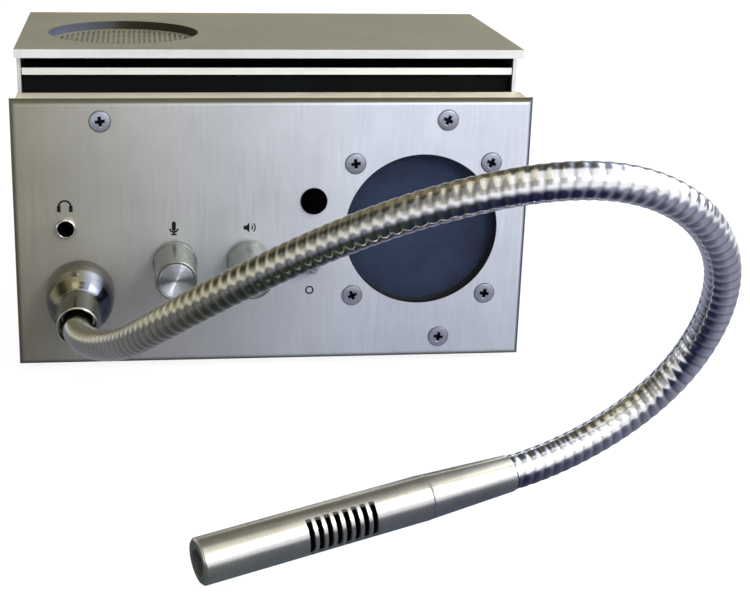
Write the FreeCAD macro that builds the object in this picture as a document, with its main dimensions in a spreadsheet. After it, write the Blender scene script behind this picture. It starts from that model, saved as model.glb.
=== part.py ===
"""Counter window intercom: a folded steel box with a speaker, two volume knobs, an
on/off switch, a headset jack and a microphone on a flexible gooseneck.

Frame: millimetres, +X to the right of the front panel, +Y to the back, +Z up.
The origin is on the surface that the rubber base stands on, under the middle of the box.
"""
import FreeCAD as App, Part
import os
import re
import Sketcher
from math import cos, pi, sin

# ---------------------------------------------------------------- driving sizes
SIZES = {
    # front panel, a folded pan
    "panel_width": 200.0,
    "panel_height": 105.5,
    "panel_depth": 12.7,
    "sheet": 1.5,
    "bend_radius": 2.5,
    "corner_relief": 2.7,
    "ground_gap": 2.0,
    "front_plane": -57.0,
    # box behind the panel
    "overall_depth": 114.5,
    "fold_gap": 0.3,
    "shell_front": 2.4,
    "wall_setback": 23.5,
    "top_flange": 8.0,
    "top_flange_setback": 34.0,
    "frame_setback": 28.0,
    "lid_setback": 24.0,
    "lid_thickness": 2.7,
    "lid_rise": 4.9,
    "air_gap": 5.5,
    "plate_overhang": 0.2,
    "plate_setback": 13.5,
    "plate_thickness": 3.3,
    "vent_radius": 30.0,
    "vent_across": -57.5,
    "vent_setback": 58.0,
    "slot_width": 1.2,
    "slot_pitch": 3.0,
    "slot_rim": 4.0,
    "grille_sheet": 1.0,
    "grille_overlap": 2.0,
    "grille_slot_width": 1.0,
    "grille_slot_pitch": 2.1,
    "frame_ear": 14.0,
    "magnet_window_slack": 4.0,
    "wiring_window_width": 80.0,
    "wiring_window_height": 40.0,
    "wiring_window_left": -70.0,
    "wiring_window_sill": 22.0,
    "rear_ear": 12.0,
    "base_inset": 15.0,
    "base_depth": 84.0,
    "base_corner": 8.0,
    "base_clear": 4.0,
    # screws
    "panel_screw_side": 33.5,
    "panel_screw_inset": 8.5,
    "screw_radius": 2.0,
    "screw_head_radius": 4.0,
    "screw_head_height": 1.3,
    "screw_head_rim": 0.3,
    "side_screw_back": 7.0,
    "side_screw_inset": 15.0,
    "side_head_height": 2.0,
    "spacer_radius": 4.0,
    "hole_slack": 0.2,
    # speaker
    "speaker_across": 57.7,
    "speaker_rise": 0.55,
    "speaker_opening": 30.0,
    "speaker_square": 66.0,
    "speaker_screw_pitch": 53.5,
    "gasket_thickness": 6.0,
    "mesh_thickness": 0.6,
    "mesh_overlap": 4.0,
    "gasket_slack": 0.5,
    "basket_sheet": 1.0,
    "basket_depth": 15.0,
    "magnet_radius": 20.0,
    "basket_lip": 1.5,
    "basket_wall": 3.0,
    "magnet_depth": 10.0,
    "magnet_step": 1.5,
    "pole_radius": 16.0,
    "voice_coil_radius": 8.0,
    "cone_paper": 0.5,
    "cone_depth": 10.0,
    "cone_edge_depth": 2.0,
    "cone_cap_depth": 7.0,
    "surround_width": 3.2,
    "speaker_nut_flats": 7.0,
    "speaker_nut_height": 2.2,
    "speaker_screw_end": 3.5,
    # volume controls
    "talk_across": -39.0,
    "listen_across": -10.5,
    "knob_up": 41.7,
    "knob_base_radius": 8.5,
    "knob_face_radius": 7.8,
    "knob_end": 25.0,
    "knob_edge": 0.5,
    "knob_gap": 0.8,
    "knob_socket_radius": 6.6,
    "knob_socket_depth": 5.5,
    "knob_disc_radius": 6.7,
    "knob_disc_thickness": 0.6,
    "knob_skirt": 2.5,
    "knob_dimple_radius": 1.2,
    "knob_dimple_depth": 0.3,
    "shaft_radius": 3.0,
    "shaft_end": 18.0,
    "running_gap": 0.05,
    "bushing_radius": 3.9,
    "bushing_end": 5.0,
    "pot_radius": 8.5,
    "pot_depth": 9.0,
    "pot_floor": 3.0,
    "pot_nut_flats": 10.0,
    "pot_nut_height": 2.2,
    "set_screw_radius": 1.5,
    "set_screw_up": 4.0,
    "set_screw_sink": 1.0,
    "key_flats": 1.5,
    "key_depth": 1.5,
    # switch
    "toggle_across": 14.0,
    "toggle_up": 40.5,
    "toggle_bushing_radius": 3.1,
    "toggle_bushing_end": 5.5,
    "toggle_nut_flats": 8.0,
    "toggle_nut_height": 1.8,
    "toggle_ball_radius": 2.3,
    "toggle_pivot_out": 3.2,
    "toggle_seat_slack": 0.5,
    "toggle_throw": 12.0,
    "toggle_lever_length": 12.0,
    "toggle_lever_radius": 1.3,
    "toggle_tip_radius": 1.9,
    "toggle_waist": 3.0,
    "toggle_tip_bevel": 0.7,
    "toggle_body_width": 8.0,
    "toggle_body_height": 13.0,
    "toggle_body_depth": 10.0,
    # lamp
    "lamp_across": 15.0,
    "lamp_up": 65.4,
    "lamp_rim_radius": 5.2,
    "lamp_barrel_radius": 4.0,
    "lamp_lens_radius": 3.4,
    "lamp_rim_height": 1.6,
    "lamp_rim_bevel": 0.7,
    "lamp_dome": 1.0,
    "lamp_lens_depth": 1.0,
    "lamp_depth": 9.0,
    "led_radius": 2.5,
    "led_flange": 0.4,
    "led_rim": 1.0,
    "led_top": 1.3,
    # headset jack
    "jack_across": -80.3,
    "jack_up": 55.7,
    "jack_bore_radius": 1.8,
    "jack_thread_radius": 3.1,
    "jack_nut_radius": 3.95,
    "jack_nut_height": 2.0,
    "jack_nut_bevel": 0.5,
    "jack_body_width": 9.0,
    "jack_body_depth": 13.0,
    # gooseneck socket
    "socket_across": -75.3,
    "socket_up": 29.8,
    "socket_base_radius": 13.0,
    "socket_rim": 2.5,
    "socket_bell": 21.5,
    "socket_dome_steps": 7.0,
    "socket_shoulder_radius": 8.6,
    "socket_mouth_radius": 7.7,
    "socket_mouth_bore": 7.0,
    "socket_mouth_depth": 6.0,
    "socket_end": 41.0,
    "socket_thread_radius": 6.4,
    "socket_nut_flats": 17.0,
    "socket_nut_height": 3.0,
    "socket_slack": 0.3,
    "socket_step": 0.4,
    "socket_thread_end": 3.0,
    # gooseneck
    "neck_radius": 5.45,
    "neck_groove": 0.45,
    "neck_ridge_pitch": 13.0,
    "neck_ball_radius": 5.0,
    "neck_cup_back": 2.2,
    "neck_child_start": 1.0,
    "neck_stub_inside": 14.0,
    # microphone
    "mic_direction_x": -0.945,
    "mic_direction_y": -0.316,
    "mic_direction_z": -0.088,
    "mic_tail_length": 30.0,
    "mic_tail_radius": 5.8,
    "mic_radius": 7.0,
    "mic_barrel_length": 73.4,
    "mic_wall": 0.9,
    "mic_slot_start": 19.1,
    "mic_slot_count": 8.0,
    "mic_slot_pitch": 2.91,
    "mic_slot_width": 1.75,
    "mic_slot_chord": 3.55,
    "mic_slot_turn": 163.4,
    "mic_mouth_radius": 4.2,
    "mic_mouth_lip": 2.0,
    "mic_edge": 0.6,
    "mic_spigot": 8.0,
    "mic_lining": 0.5,
    "mic_lining_overlap": 4.0,
    "mic_capsule_length": 12.0,
    "mic_pad_thickness": 1.3,
    # circuit board and rear panel
    "board_width": 88.0,
    "board_depth": 60.0,
    "board_thickness": 1.6,
    "board_height": 14.0,
    "board_across": -44.0,
    "board_setback": 36.0,
    "post_inset": 5.0,
    "post_radius": 3.0,
    "post_bore_radius": 1.5,
    "board_hole_radius": 1.7,
    "board_screw_length": 8.0,
    "board_head_radius": 2.8,
    "board_head_height": 2.0,
    "can_radius": 6.5,
    "can_height": 16.0,
    "can_pitch": 16.0,
    "can_inset": 18.0,
    "sink_left": 46.0,
    "sink_front": 10.0,
    "sink_width": 34.0,
    "sink_depth": 22.0,
    "sink_foot": 3.0,
    "sink_height": 16.0,
    "fin_thickness": 1.6,
    "fin_count": 6.0,
    "gland_radius": 7.0,
    "gland_bore_radius": 4.0,
    "gland_inset": 36.2,
    "gland_height": 30.0,
    "gland_neck": 1.5,
    "gland_rim": 2.0,
    "gland_collar": 3.0,
    "terminal_width": 62.0,
    "terminal_across": -30.0,
    "terminal_height": 34.0,
    "terminal_tall": 18.0,
    "terminal_depth": 9.0,
    "terminal_margin": 3.0,
    "terminal_rib": 1.6,
    "terminal_cell_tall": 14.0,
    "terminal_cell_depth": 4.0,
    "terminal_head_radius": 3.0,
    "terminal_head_height": 2.2,
    "terminal_count": 6.0,
}

# The gooseneck's line from the socket's mouth to the microphone: its joints and ends,
# measured across from the panel's middle, out from its face and up from its lower edge.
ROUTE = [
    ("mouth", -75.3, 41.0, 29.8),
    ("bend_1", -65.0, 73.7, 34.8),
    ("bend_2", -45.4, 112.2, 56.0),
    ("bend_3", -4.9, 146.4, 88.8),
    ("bend_4", 36.5, 168.1, 110.6),
    ("bend_5", 77.6, 174.8, 116.4),
    ("bend_6", 120.0, 151.0, 81.6),
    ("bend_7", 113.3, 134.7, 42.3),
    ("tail", 60.1, 147.0, 17.1),
]
BENDS = [name for name, *_ in ROUTE[1:-1]]

DOC = App.newDocument("counter_intercom")
SHEET = DOC.addObject("Spreadsheet::Sheet", "Sizes")
PARTS = []


def fill_sheet():
    """Writes every driving size into the spreadsheet, with its name as the alias."""
    cells = dict(SIZES)
    for name, across, out, up in ROUTE:
        cells[name + "_across"] = across
        cells[name + "_out"] = out
        cells[name + "_up"] = up
    for row, (name, number) in enumerate(cells.items(), start=1):
        SHEET.set(f"A{row}", name)
        SHEET.set(f"B{row}", f"{number:g}")
        SHEET.setAlias(f"B{row}", name)
    DOC.recompute()
    return set(cells)


NAMES = fill_sheet()


def linked(text):
    """The expression with each size's name written as a reference to the sheet."""
    return re.sub(
        r"[a-z_][a-z_0-9]*",
        lambda found: "Sizes." + found[0] if found[0] in NAMES else found[0],
        str(text),
    )


def value(text):
    """The number that an expression of sizes has now."""
    return float(SHEET_READER.evalExpression(linked(text)))


ON_PLANE = 1e-4  # millimetres within which an edge counts as lying in a plane
SHEET_READER = DOC.addObject("App::FeaturePython", "reader")

# ---------------------------------------------------------------- derived levels
PANEL_FOOT = "ground_gap"
PANEL_TOP = "(ground_gap + panel_height)"
FLOOR_UNDER = "(ground_gap + sheet + fold_gap)"
FLOOR_TOP = "(ground_gap + 2 * sheet + fold_gap)"
SHELL_HALF = "(panel_width / 2 - sheet - fold_gap)"
PLATE_HALF = "(panel_width / 2 - sheet - fold_gap + plate_overhang)"
BASE_HALF = "(panel_width / 2 - base_inset)"
SCREW_ACROSS = "(panel_width / 2 - panel_screw_side)"
GLAND_ACROSS = "(panel_width / 2 - sheet - fold_gap - gland_inset)"
LID_UNDER = "(ground_gap + panel_height + lid_rise)"
LID_TOP = "(ground_gap + panel_height + lid_rise + lid_thickness)"
PLATE_UNDER = "(ground_gap + panel_height + lid_rise + lid_thickness + air_gap)"
BACK = "(front_plane + overall_depth)"
PANEL_BACK = "(front_plane + sheet)"
FRAME_FRONT = "(front_plane + frame_setback)"
SPEAKER_Z = "(ground_gap + panel_height / 2 + speaker_rise)"
SPEAKER_FRONT = "(front_plane + sheet + gasket_thickness + mesh_thickness)"
KNOB_Z = "(ground_gap + knob_up)"

# Rotations that turn a piece made along +Z to another direction.
UPRIGHT = App.Rotation()
OUTWARD = App.Rotation(App.Vector(1, 0, 0), 90)
BACKWARD = App.Rotation(App.Vector(1, 0, 0), -90)


# ---------------------------------------------------------------- modelling helpers
def place(thing, at, turn=UPRIGHT):
    """Puts a piece at three expressions, turned by a fixed rotation."""
    thing.Placement = App.Placement(App.Vector(), turn)
    for axis, text in zip("xyz", at):
        thing.setExpression("Placement.Base." + axis, linked(text))
    return thing


def block(name, size, at):
    """A box from its lowest corner."""
    box = DOC.addObject("Part::Box", name)
    for side, text in zip(("Length", "Width", "Height"), size):
        box.setExpression(side, linked(text))
    return place(box, at)


def rod(name, radius, length, at, turn=UPRIGHT):
    """A cylinder from the middle of one end."""
    cylinder = DOC.addObject("Part::Cylinder", name)
    cylinder.setExpression("Radius", linked(radius))
    cylinder.setExpression("Height", linked(length))
    return place(cylinder, at, turn)


def hexagon(name, flats, height, at, turn=UPRIGHT):
    """A six-sided prism of a given width across flats."""
    prism = DOC.addObject("Part::Prism", name)
    prism.Polygon = 6
    prism.setExpression("Circumradius", linked(f"({flats}) / 2 / cos(30)"))
    prism.setExpression("Height", linked(height))
    return place(prism, at, turn)


def ball(name, radius, at, turn):
    sphere = DOC.addObject("Part::Sphere", name)
    sphere.setExpression("Radius", linked(radius))
    return place(sphere, at, turn)


def fuse(name, pieces):
    joined = DOC.addObject("Part::MultiFuse", name)
    joined.Shapes = pieces
    joined.Refine = True
    return joined


def cut(name, base, tools):
    """base with each of the tools taken away."""
    tool = tools[0] if len(tools) == 1 else fuse(name + "_tools", tools)
    if len(tools) > 1:
        tool.Refine = False
    result = DOC.addObject("Part::Cut", name)
    result.Base = base
    result.Tool = tool
    result.Refine = True
    return result


def group(name, pieces):
    """Separate solids that share one node, such as a set of screws."""
    together = DOC.addObject("Part::Compound", name)
    together.Links = pieces
    return together


def keep(thing, label):
    """Marks a finished sub-part, whose label names its file."""
    thing.Label = label
    PARTS.append(thing)
    return thing


def origin_plane(body, role):
    return next(f for f in body.Origin.OriginFeatures if f.Role == role)


def fix_point(sketch, line, end, across, up):
    """Ties one end of a sketch line to two expressions."""
    for kind, text in (("DistanceX", across), ("DistanceY", up)):
        index = sketch.addConstraint(
            Sketcher.Constraint(kind, -1, 1, line, end, value(text))
        )
        sketch.setExpression(f"Constraints[{index}]", linked(text))


def new_sketch(body, name, role):
    sketch = body.newObject("Sketcher::SketchObject", name)
    sketch.AttachmentSupport = (origin_plane(body, role), [""])
    sketch.MapMode = "FlatFace"
    return sketch


def outline(sketch, corners):
    """Draws a closed outline whose corners sit at pairs of expressions."""
    first = sketch.GeometryCount
    points = [App.Vector(value(a), value(b), 0) for a, b in corners]
    count = len(points)
    for i in range(count):
        sketch.addGeometry(Part.LineSegment(points[i], points[(i + 1) % count]), False)
    for i in range(count):
        after = first + (i + 1) % count
        sketch.addConstraint(Sketcher.Constraint("Coincident", first + i, 2, after, 1))
    for i, (across, up) in enumerate(corners):
        fix_point(sketch, first + i, 1, across, up)


def round_hole(sketch, across, up, radius):
    """Draws a circle at a pair of expressions."""
    centre = App.Vector(value(across), value(up), 0)
    circle = Part.Circle(centre, App.Vector(0, 0, 1), value(radius))
    line = sketch.addGeometry(circle, False)
    fix_point(sketch, line, 3, across, up)
    index = sketch.addConstraint(Sketcher.Constraint("Radius", line, value(radius)))
    sketch.setExpression(f"Constraints[{index}]", linked(radius))


def turned(name, profile, at, turn=UPRIGHT):
    """A turned piece: a profile of (radius, height) corners revolved about its axis."""
    body = DOC.addObject("PartDesign::Body", name)
    sketch = new_sketch(body, name + "_profile", "XZ_Plane")
    outline(sketch, profile)
    turning = body.newObject("PartDesign::Revolution", name + "_turning")
    turning.Profile = sketch
    turning.ReferenceAxis = (sketch, ["V_Axis"])
    turning.Angle = 360
    sketch.Visibility = False
    DOC.recompute()
    body.Tip = turning
    return place(body, at, turn)


def front_screw(name, across, up, length):
    """A countersunk screw along +Y, its head standing out from the panel by its rim."""
    profile = [
        ("0", "0"),
        ("screw_head_radius", "0"),
        ("screw_head_radius", "screw_head_rim"),
        ("screw_radius", "screw_head_height + screw_head_rim"),
        ("screw_radius", length),
        ("0", length),
    ]
    return turned(name, profile, (across, "front_plane - screw_head_rim", up), BACKWARD)


# ---------------------------------------------------------------- sheet-metal box
def panel_holes():
    """(across, up from the table, radius) of each round hole in the panel."""
    screws = panel_corners() + speaker_corners()
    holes = [(a, b, "screw_radius + hole_slack") for a, b in screws]
    holes += [
        ("speaker_across", SPEAKER_Z, "speaker_opening"),
        ("talk_across", KNOB_Z, "bushing_radius + hole_slack"),
        ("listen_across", KNOB_Z, "bushing_radius + hole_slack"),
        ("toggle_across", "ground_gap + toggle_up", "toggle_bushing_radius + hole_slack"),
        ("lamp_across", "ground_gap + lamp_up", "lamp_barrel_radius + hole_slack"),
        ("jack_across", "ground_gap + jack_up", "jack_thread_radius + hole_slack"),
        ("socket_across", "ground_gap + socket_up", "socket_thread_radius + hole_slack"),
    ]
    return holes


def speaker_corners():
    half = "speaker_screw_pitch / 2"
    return [
        (f"speaker_across {x} {half}", f"{SPEAKER_Z} {z} {half}")
        for x in "-+"
        for z in "-+"
    ]


def panel_corners():
    return [
        (side, height)
        for side in (f"-{SCREW_ACROSS}", SCREW_ACROSS)
        for height in (
            "ground_gap + panel_screw_inset",
            "ground_gap + panel_height - panel_screw_inset",
        )
    ]


def make_front_panel():
    """A pan folded from one sheet: flanges on four sides, rounded bends, open corners."""
    body = DOC.addObject("PartDesign::Body", "front_panel_body")
    blank = new_sketch(body, "panel_outline", "XZ_Plane")
    half = "panel_width / 2"
    outline(
        blank,
        [
            (f"-{half}", PANEL_FOOT),
            (half, PANEL_FOOT),
            (half, PANEL_TOP),
            (f"-{half}", PANEL_TOP),
        ],
    )
    pad = body.newObject("PartDesign::Pad", "panel_block")
    pad.Profile = blank
    pad.Reversed = True
    pad.setExpression("Length", linked("panel_depth"))
    DOC.recompute()
    outer = body.newObject("PartDesign::Fillet", "outer_bends")
    outer.Base = (pad, flat_edges(pad.Shape, 0.0))
    outer.setExpression("Radius", linked("bend_radius"))
    DOC.recompute()
    inside = new_sketch(body, "panel_inside", "XZ_Plane")
    inside.AttachmentOffset.Base = App.Vector(0, 0, 0)
    inner = "(panel_width / 2 - sheet)"
    outline(
        inside,
        [
            (f"-{inner}", f"{PANEL_FOOT} + sheet"),
            (inner, f"{PANEL_FOOT} + sheet"),
            (inner, f"{PANEL_TOP} - sheet"),
            (f"-{inner}", f"{PANEL_TOP} - sheet"),
        ],
    )
    inside.setExpression("AttachmentOffset.Base.z", linked("-sheet"))
    hollow = body.newObject("PartDesign::Pocket", "panel_hollow")
    hollow.Profile = inside
    hollow.Type = "ThroughAll"
    hollow.Reversed = False
    DOC.recompute()
    bends = body.newObject("PartDesign::Fillet", "inner_bends")
    bends.Base = (hollow, flat_edges(hollow.Shape, value("sheet")))
    bends.setExpression("Radius", linked("bend_radius - sheet"))
    DOC.recompute()
    reliefs = new_sketch(body, "corner_reliefs", "XZ_Plane")
    reliefs.setExpression("AttachmentOffset.Base.z", linked("-bend_radius"))
    for x in "-+":
        for foot, inward in ((PANEL_FOOT, "+"), (PANEL_TOP, "-")):
            edge = f"0 {x} panel_width / 2"
            into = "-" if x == "+" else "+"
            outline(
                reliefs,
                [
                    (edge, foot),
                    (f"{edge} {into} corner_relief", foot),
                    (f"{edge} {into} corner_relief", f"{foot} {inward} corner_relief"),
                    (edge, f"{foot} {inward} corner_relief"),
                ],
            )
    notches = body.newObject("PartDesign::Pocket", "corner_notches")
    notches.Profile = reliefs
    notches.Type = "ThroughAll"
    DOC.recompute()
    drilling = new_sketch(body, "panel_drilling", "XZ_Plane")
    for across, up, radius in panel_holes():
        round_hole(drilling, across, up, radius)
    holes = body.newObject("PartDesign::Pocket", "panel_holes")
    holes.Profile = drilling
    holes.Type = "ThroughAll"
    DOC.recompute()
    body.Tip = holes
    place(body, ("0", "front_plane", "0"))
    countersinks = [
        countersink(f"countersink_{i}", across, up)
        for i, (across, up) in enumerate(panel_corners() + speaker_corners())
    ]
    keep(cut("front_panel_cut", body, countersinks), "front_panel")


def flat_edges(shape, depth):
    """Names of the edges that lie in the plane at one depth behind the panel's face."""
    names = []
    for i, edge in enumerate(shape.Edges, start=1):
        box = edge.BoundBox
        if max(abs(box.YMin - depth), abs(box.YMax - depth)) < ON_PLANE:
            names.append(f"Edge{i}")
    return names


def countersink(name, across, up):
    """The cone that seats a countersunk head flush with the panel."""
    cone = DOC.addObject("Part::Cone", name)
    cone.setExpression("Radius1", linked("screw_head_radius + hole_slack"))
    cone.setExpression("Radius2", linked("screw_radius + hole_slack"))
    cone.setExpression("Height", linked("screw_head_height"))
    return place(cone, (across, "front_plane", up), BACKWARD)


def make_shell():
    """The wrap of sheet that forms the floor and both sides, with flanges on top."""
    front = "(front_plane + shell_front)"
    depth = f"({BACK} - {front})"
    floor = block(
        "shell_floor",
        (f"2 * {SHELL_HALF}", depth, "sheet"),
        (f"-{SHELL_HALF}", front, FLOOR_UNDER),
    )
    pieces = [floor]
    wall_height = f"({PLATE_UNDER} - {FLOOR_UNDER})"
    for side, left in (("left", f"-{SHELL_HALF}"), ("right", f"{SHELL_HALF} - sheet")):
        pieces.append(
            block(f"{side}_wall", ("sheet", depth, wall_height), (left, front, FLOOR_UNDER))
        )
        inward = left if side == "left" else f"{SHELL_HALF} - top_flange"
        pieces.append(
            block(
                f"{side}_flange",
                ("top_flange", "overall_depth - top_flange_setback", "sheet"),
                (inward, "front_plane + top_flange_setback", f"{PLATE_UNDER} - sheet"),
            )
        )
    folded = fuse("shell_folded", pieces)
    step = block(
        "shell_step",
        (f"2 * {SHELL_HALF} + 2 * sheet", "wall_setback - shell_front + sheet", "panel_height"),
        (
            f"-{SHELL_HALF} - sheet",
            f"{front} - sheet",
            f"{PANEL_TOP} - sheet - fold_gap",
        ),
    )
    holes = [step]
    for i, (x, y, z) in enumerate(side_screw_seats()):
        holes.append(
            rod(
                f"side_hole_{i}",
                "screw_radius + hole_slack",
                "4 * sheet",
                (f"{x} - 2 * sheet", y, z),
                App.Rotation(App.Vector(0, 1, 0), 90),
            )
        )
    keep(cut("shell_cut", folded, holes), "chassis_shell")


def side_screw_seats():
    """Where the side screws pass through the shell into the inner frame's ears."""
    return [
        (side, f"{FRAME_FRONT} + side_screw_back", height)
        for side in (f"-{SHELL_HALF}", SHELL_HALF)
        for height in (f"{FLOOR_TOP} + side_screw_inset", f"{LID_UNDER} - side_screw_inset")
    ]


def make_frame_and_lid():
    """The inner front wall with its ears and windows, and the slotted lid above it."""
    inner = f"({SHELL_HALF} - sheet - fold_gap)"
    wall = block(
        "frame_wall",
        (f"2 * {inner}", "sheet", f"{LID_UNDER} - {FLOOR_TOP}"),
        (f"-{inner}", FRAME_FRONT, FLOOR_TOP),
    )
    pieces = [wall]
    for side, left in (("left", f"-{inner}"), ("right", f"{inner} - sheet")):
        pieces.append(
            block(
                f"{side}_ear",
                ("sheet", "frame_ear", f"{LID_UNDER} - {FLOOR_TOP}"),
                (left, FRAME_FRONT, FLOOR_TOP),
            )
        )
    windows = [
        rod(
            "magnet_window",
            "magnet_radius + magnet_window_slack",
            "4 * sheet",
            ("speaker_across", f"{FRAME_FRONT} - sheet", SPEAKER_Z),
            BACKWARD,
        ),
        block(
            "wiring_window",
            ("wiring_window_width", "4 * sheet", "wiring_window_height"),
            (
                "wiring_window_left",
                f"{FRAME_FRONT} - sheet",
                f"{FLOOR_TOP} + wiring_window_sill",
            ),
        ),
    ]
    for i, (across, up) in enumerate(panel_corners()):
        windows.append(
            rod(
                f"frame_tapping_{i}",
                "screw_radius",
                "4 * sheet",
                (across, f"{FRAME_FRONT} - sheet", up),
                BACKWARD,
            )
        )
    for i, (x, y, z) in enumerate(side_screw_seats()):
        windows.append(
            rod(
                f"ear_hole_{i}",
                "screw_radius",
                "6 * sheet",
                (f"{x} - 3 * sheet", y, z),
                App.Rotation(App.Vector(0, 1, 0), 90),
            )
        )
    keep(cut("frame_cut", fuse("frame_folded", pieces), windows), "inner_frame")
    lid = block(
        "lid_sheet",
        (f"2 * {inner}", "overall_depth - sheet - fold_gap - lid_setback", "lid_thickness"),
        (f"-{inner}", "front_plane + lid_setback", LID_UNDER),
    )
    slots = slot_cutters(
        "lid_slot", "vent_radius - slot_rim", "slot_width", "slot_pitch", LID_TOP, "lid_thickness"
    )
    keep(cut("lid_cut", lid, slots), "vent_lid")


def slot_cutters(name, reach, width, pitch, top, thickness):
    """Cutters for rows of front-to-back slots that fill a circle under the opening."""
    rows = int(value(f"({reach} - {pitch} / 2) / {pitch}"))
    middle = "(front_plane + vent_setback)"
    slots = []
    for row in range(-rows, rows + 1):
        half = f"sqrt(({reach}) ^ 2 - (({row}) * {pitch}) ^ 2)"
        slots.append(
            block(
                f"{name}_{row + rows}",
                (width, f"2 * {half}", f"3 * {thickness}"),
                (
                    f"vent_across + ({row}) * {pitch} - {width} / 2",
                    f"{middle} - {half}",
                    f"{top} - 2 * {thickness}",
                ),
            )
        )
    return slots


def make_base():
    """The rubber mat that the box stands on, with rounded corners."""
    body = DOC.addObject("PartDesign::Body", "base_mat")
    sketch = new_sketch(body, "mat_outline", "XY_Plane")
    x, y = BASE_HALF, "base_depth / 2"
    outline(sketch, [(f"-{x}", f"-{y}"), (x, f"-{y}"), (x, y), (f"-{x}", y)])
    pad = body.newObject("PartDesign::Pad", "mat_pad")
    pad.Profile = sketch
    pad.setExpression("Length", linked(FLOOR_UNDER))
    DOC.recompute()
    upright = [
        f"Edge{i}"
        for i, edge in enumerate(pad.Shape.Edges, start=1)
        if edge.BoundBox.ZLength > 0.5 * value(FLOOR_UNDER)
    ]
    corners = body.newObject("PartDesign::Fillet", "mat_corners")
    corners.Base = (pad, upright)
    corners.setExpression("Radius", linked("base_corner"))
    DOC.recompute()
    body.Tip = corners
    place(body, ("0", "front_plane + panel_depth + base_clear + base_depth / 2", "0"))
    keep(body, "rubber_base")


def make_top():
    """The thick top plate with its round opening, and the slotted disc under it."""
    plate = block(
        "plate_blank",
        (f"2 * {PLATE_HALF}", "overall_depth - plate_setback", "plate_thickness"),
        (f"-{PLATE_HALF}", "front_plane + plate_setback", PLATE_UNDER),
    )
    hole = rod(
        "plate_vent",
        "vent_radius",
        "3 * plate_thickness",
        ("vent_across", "front_plane + vent_setback", f"{PLATE_UNDER} - plate_thickness"),
    )
    keep(cut("plate_cut", plate, [hole]), "top_plate")
    disc = rod(
        "grille_disc",
        "vent_radius + grille_overlap",
        "grille_sheet",
        ("vent_across", "front_plane + vent_setback", f"{PLATE_UNDER} - grille_sheet"),
    )
    slots = slot_cutters(
        "grille_slot",
        "vent_radius - slot_rim / 2",
        "grille_slot_width",
        "grille_slot_pitch",
        PLATE_UNDER,
        "grille_sheet",
    )
    keep(cut("grille_cut", disc, slots), "vent_grille")


def make_panel_fasteners():
    screws = []
    spacers = []
    for i, (across, up) in enumerate(panel_corners()):
        screws.append(
            front_screw(f"panel_screw_{i}", across, up, "frame_setback + 2 * sheet")
        )
        spacers.append(
            turned(
                f"spacer_{i}",
                [
                    ("screw_radius + hole_slack", "0"),
                    ("spacer_radius", "0"),
                    ("spacer_radius", "frame_setback - sheet"),
                    ("screw_radius + hole_slack", "frame_setback - sheet"),
                ],
                (across, PANEL_BACK, up),
                BACKWARD,
            )
        )
    keep(group("panel_screw_group", screws), "panel_screws")
    keep(group("spacer_group", spacers), "panel_spacers")
    side = []
    for i, (x, y, z) in enumerate(side_screw_seats()):
        out = "-" if x.startswith("-") else "+"
        turn = App.Rotation(App.Vector(0, 1, 0), 90 if out == "-" else -90)
        profile = [
            ("0", "0"),
            ("screw_head_radius - side_head_height / 2", "0"),
            ("screw_head_radius", "side_head_height / 2"),
            ("screw_head_radius", "side_head_height"),
            ("screw_radius", "side_head_height"),
            ("screw_radius", "side_head_height + 3 * sheet + fold_gap"),
            ("0", "side_head_height + 3 * sheet + fold_gap"),
        ]
        head_top = f"{x} {out} side_head_height"
        side.append(turned(f"side_screw_{i}", profile, (head_top, y, z), turn))
    keep(group("side_screw_group", side), "side_screws")


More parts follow.
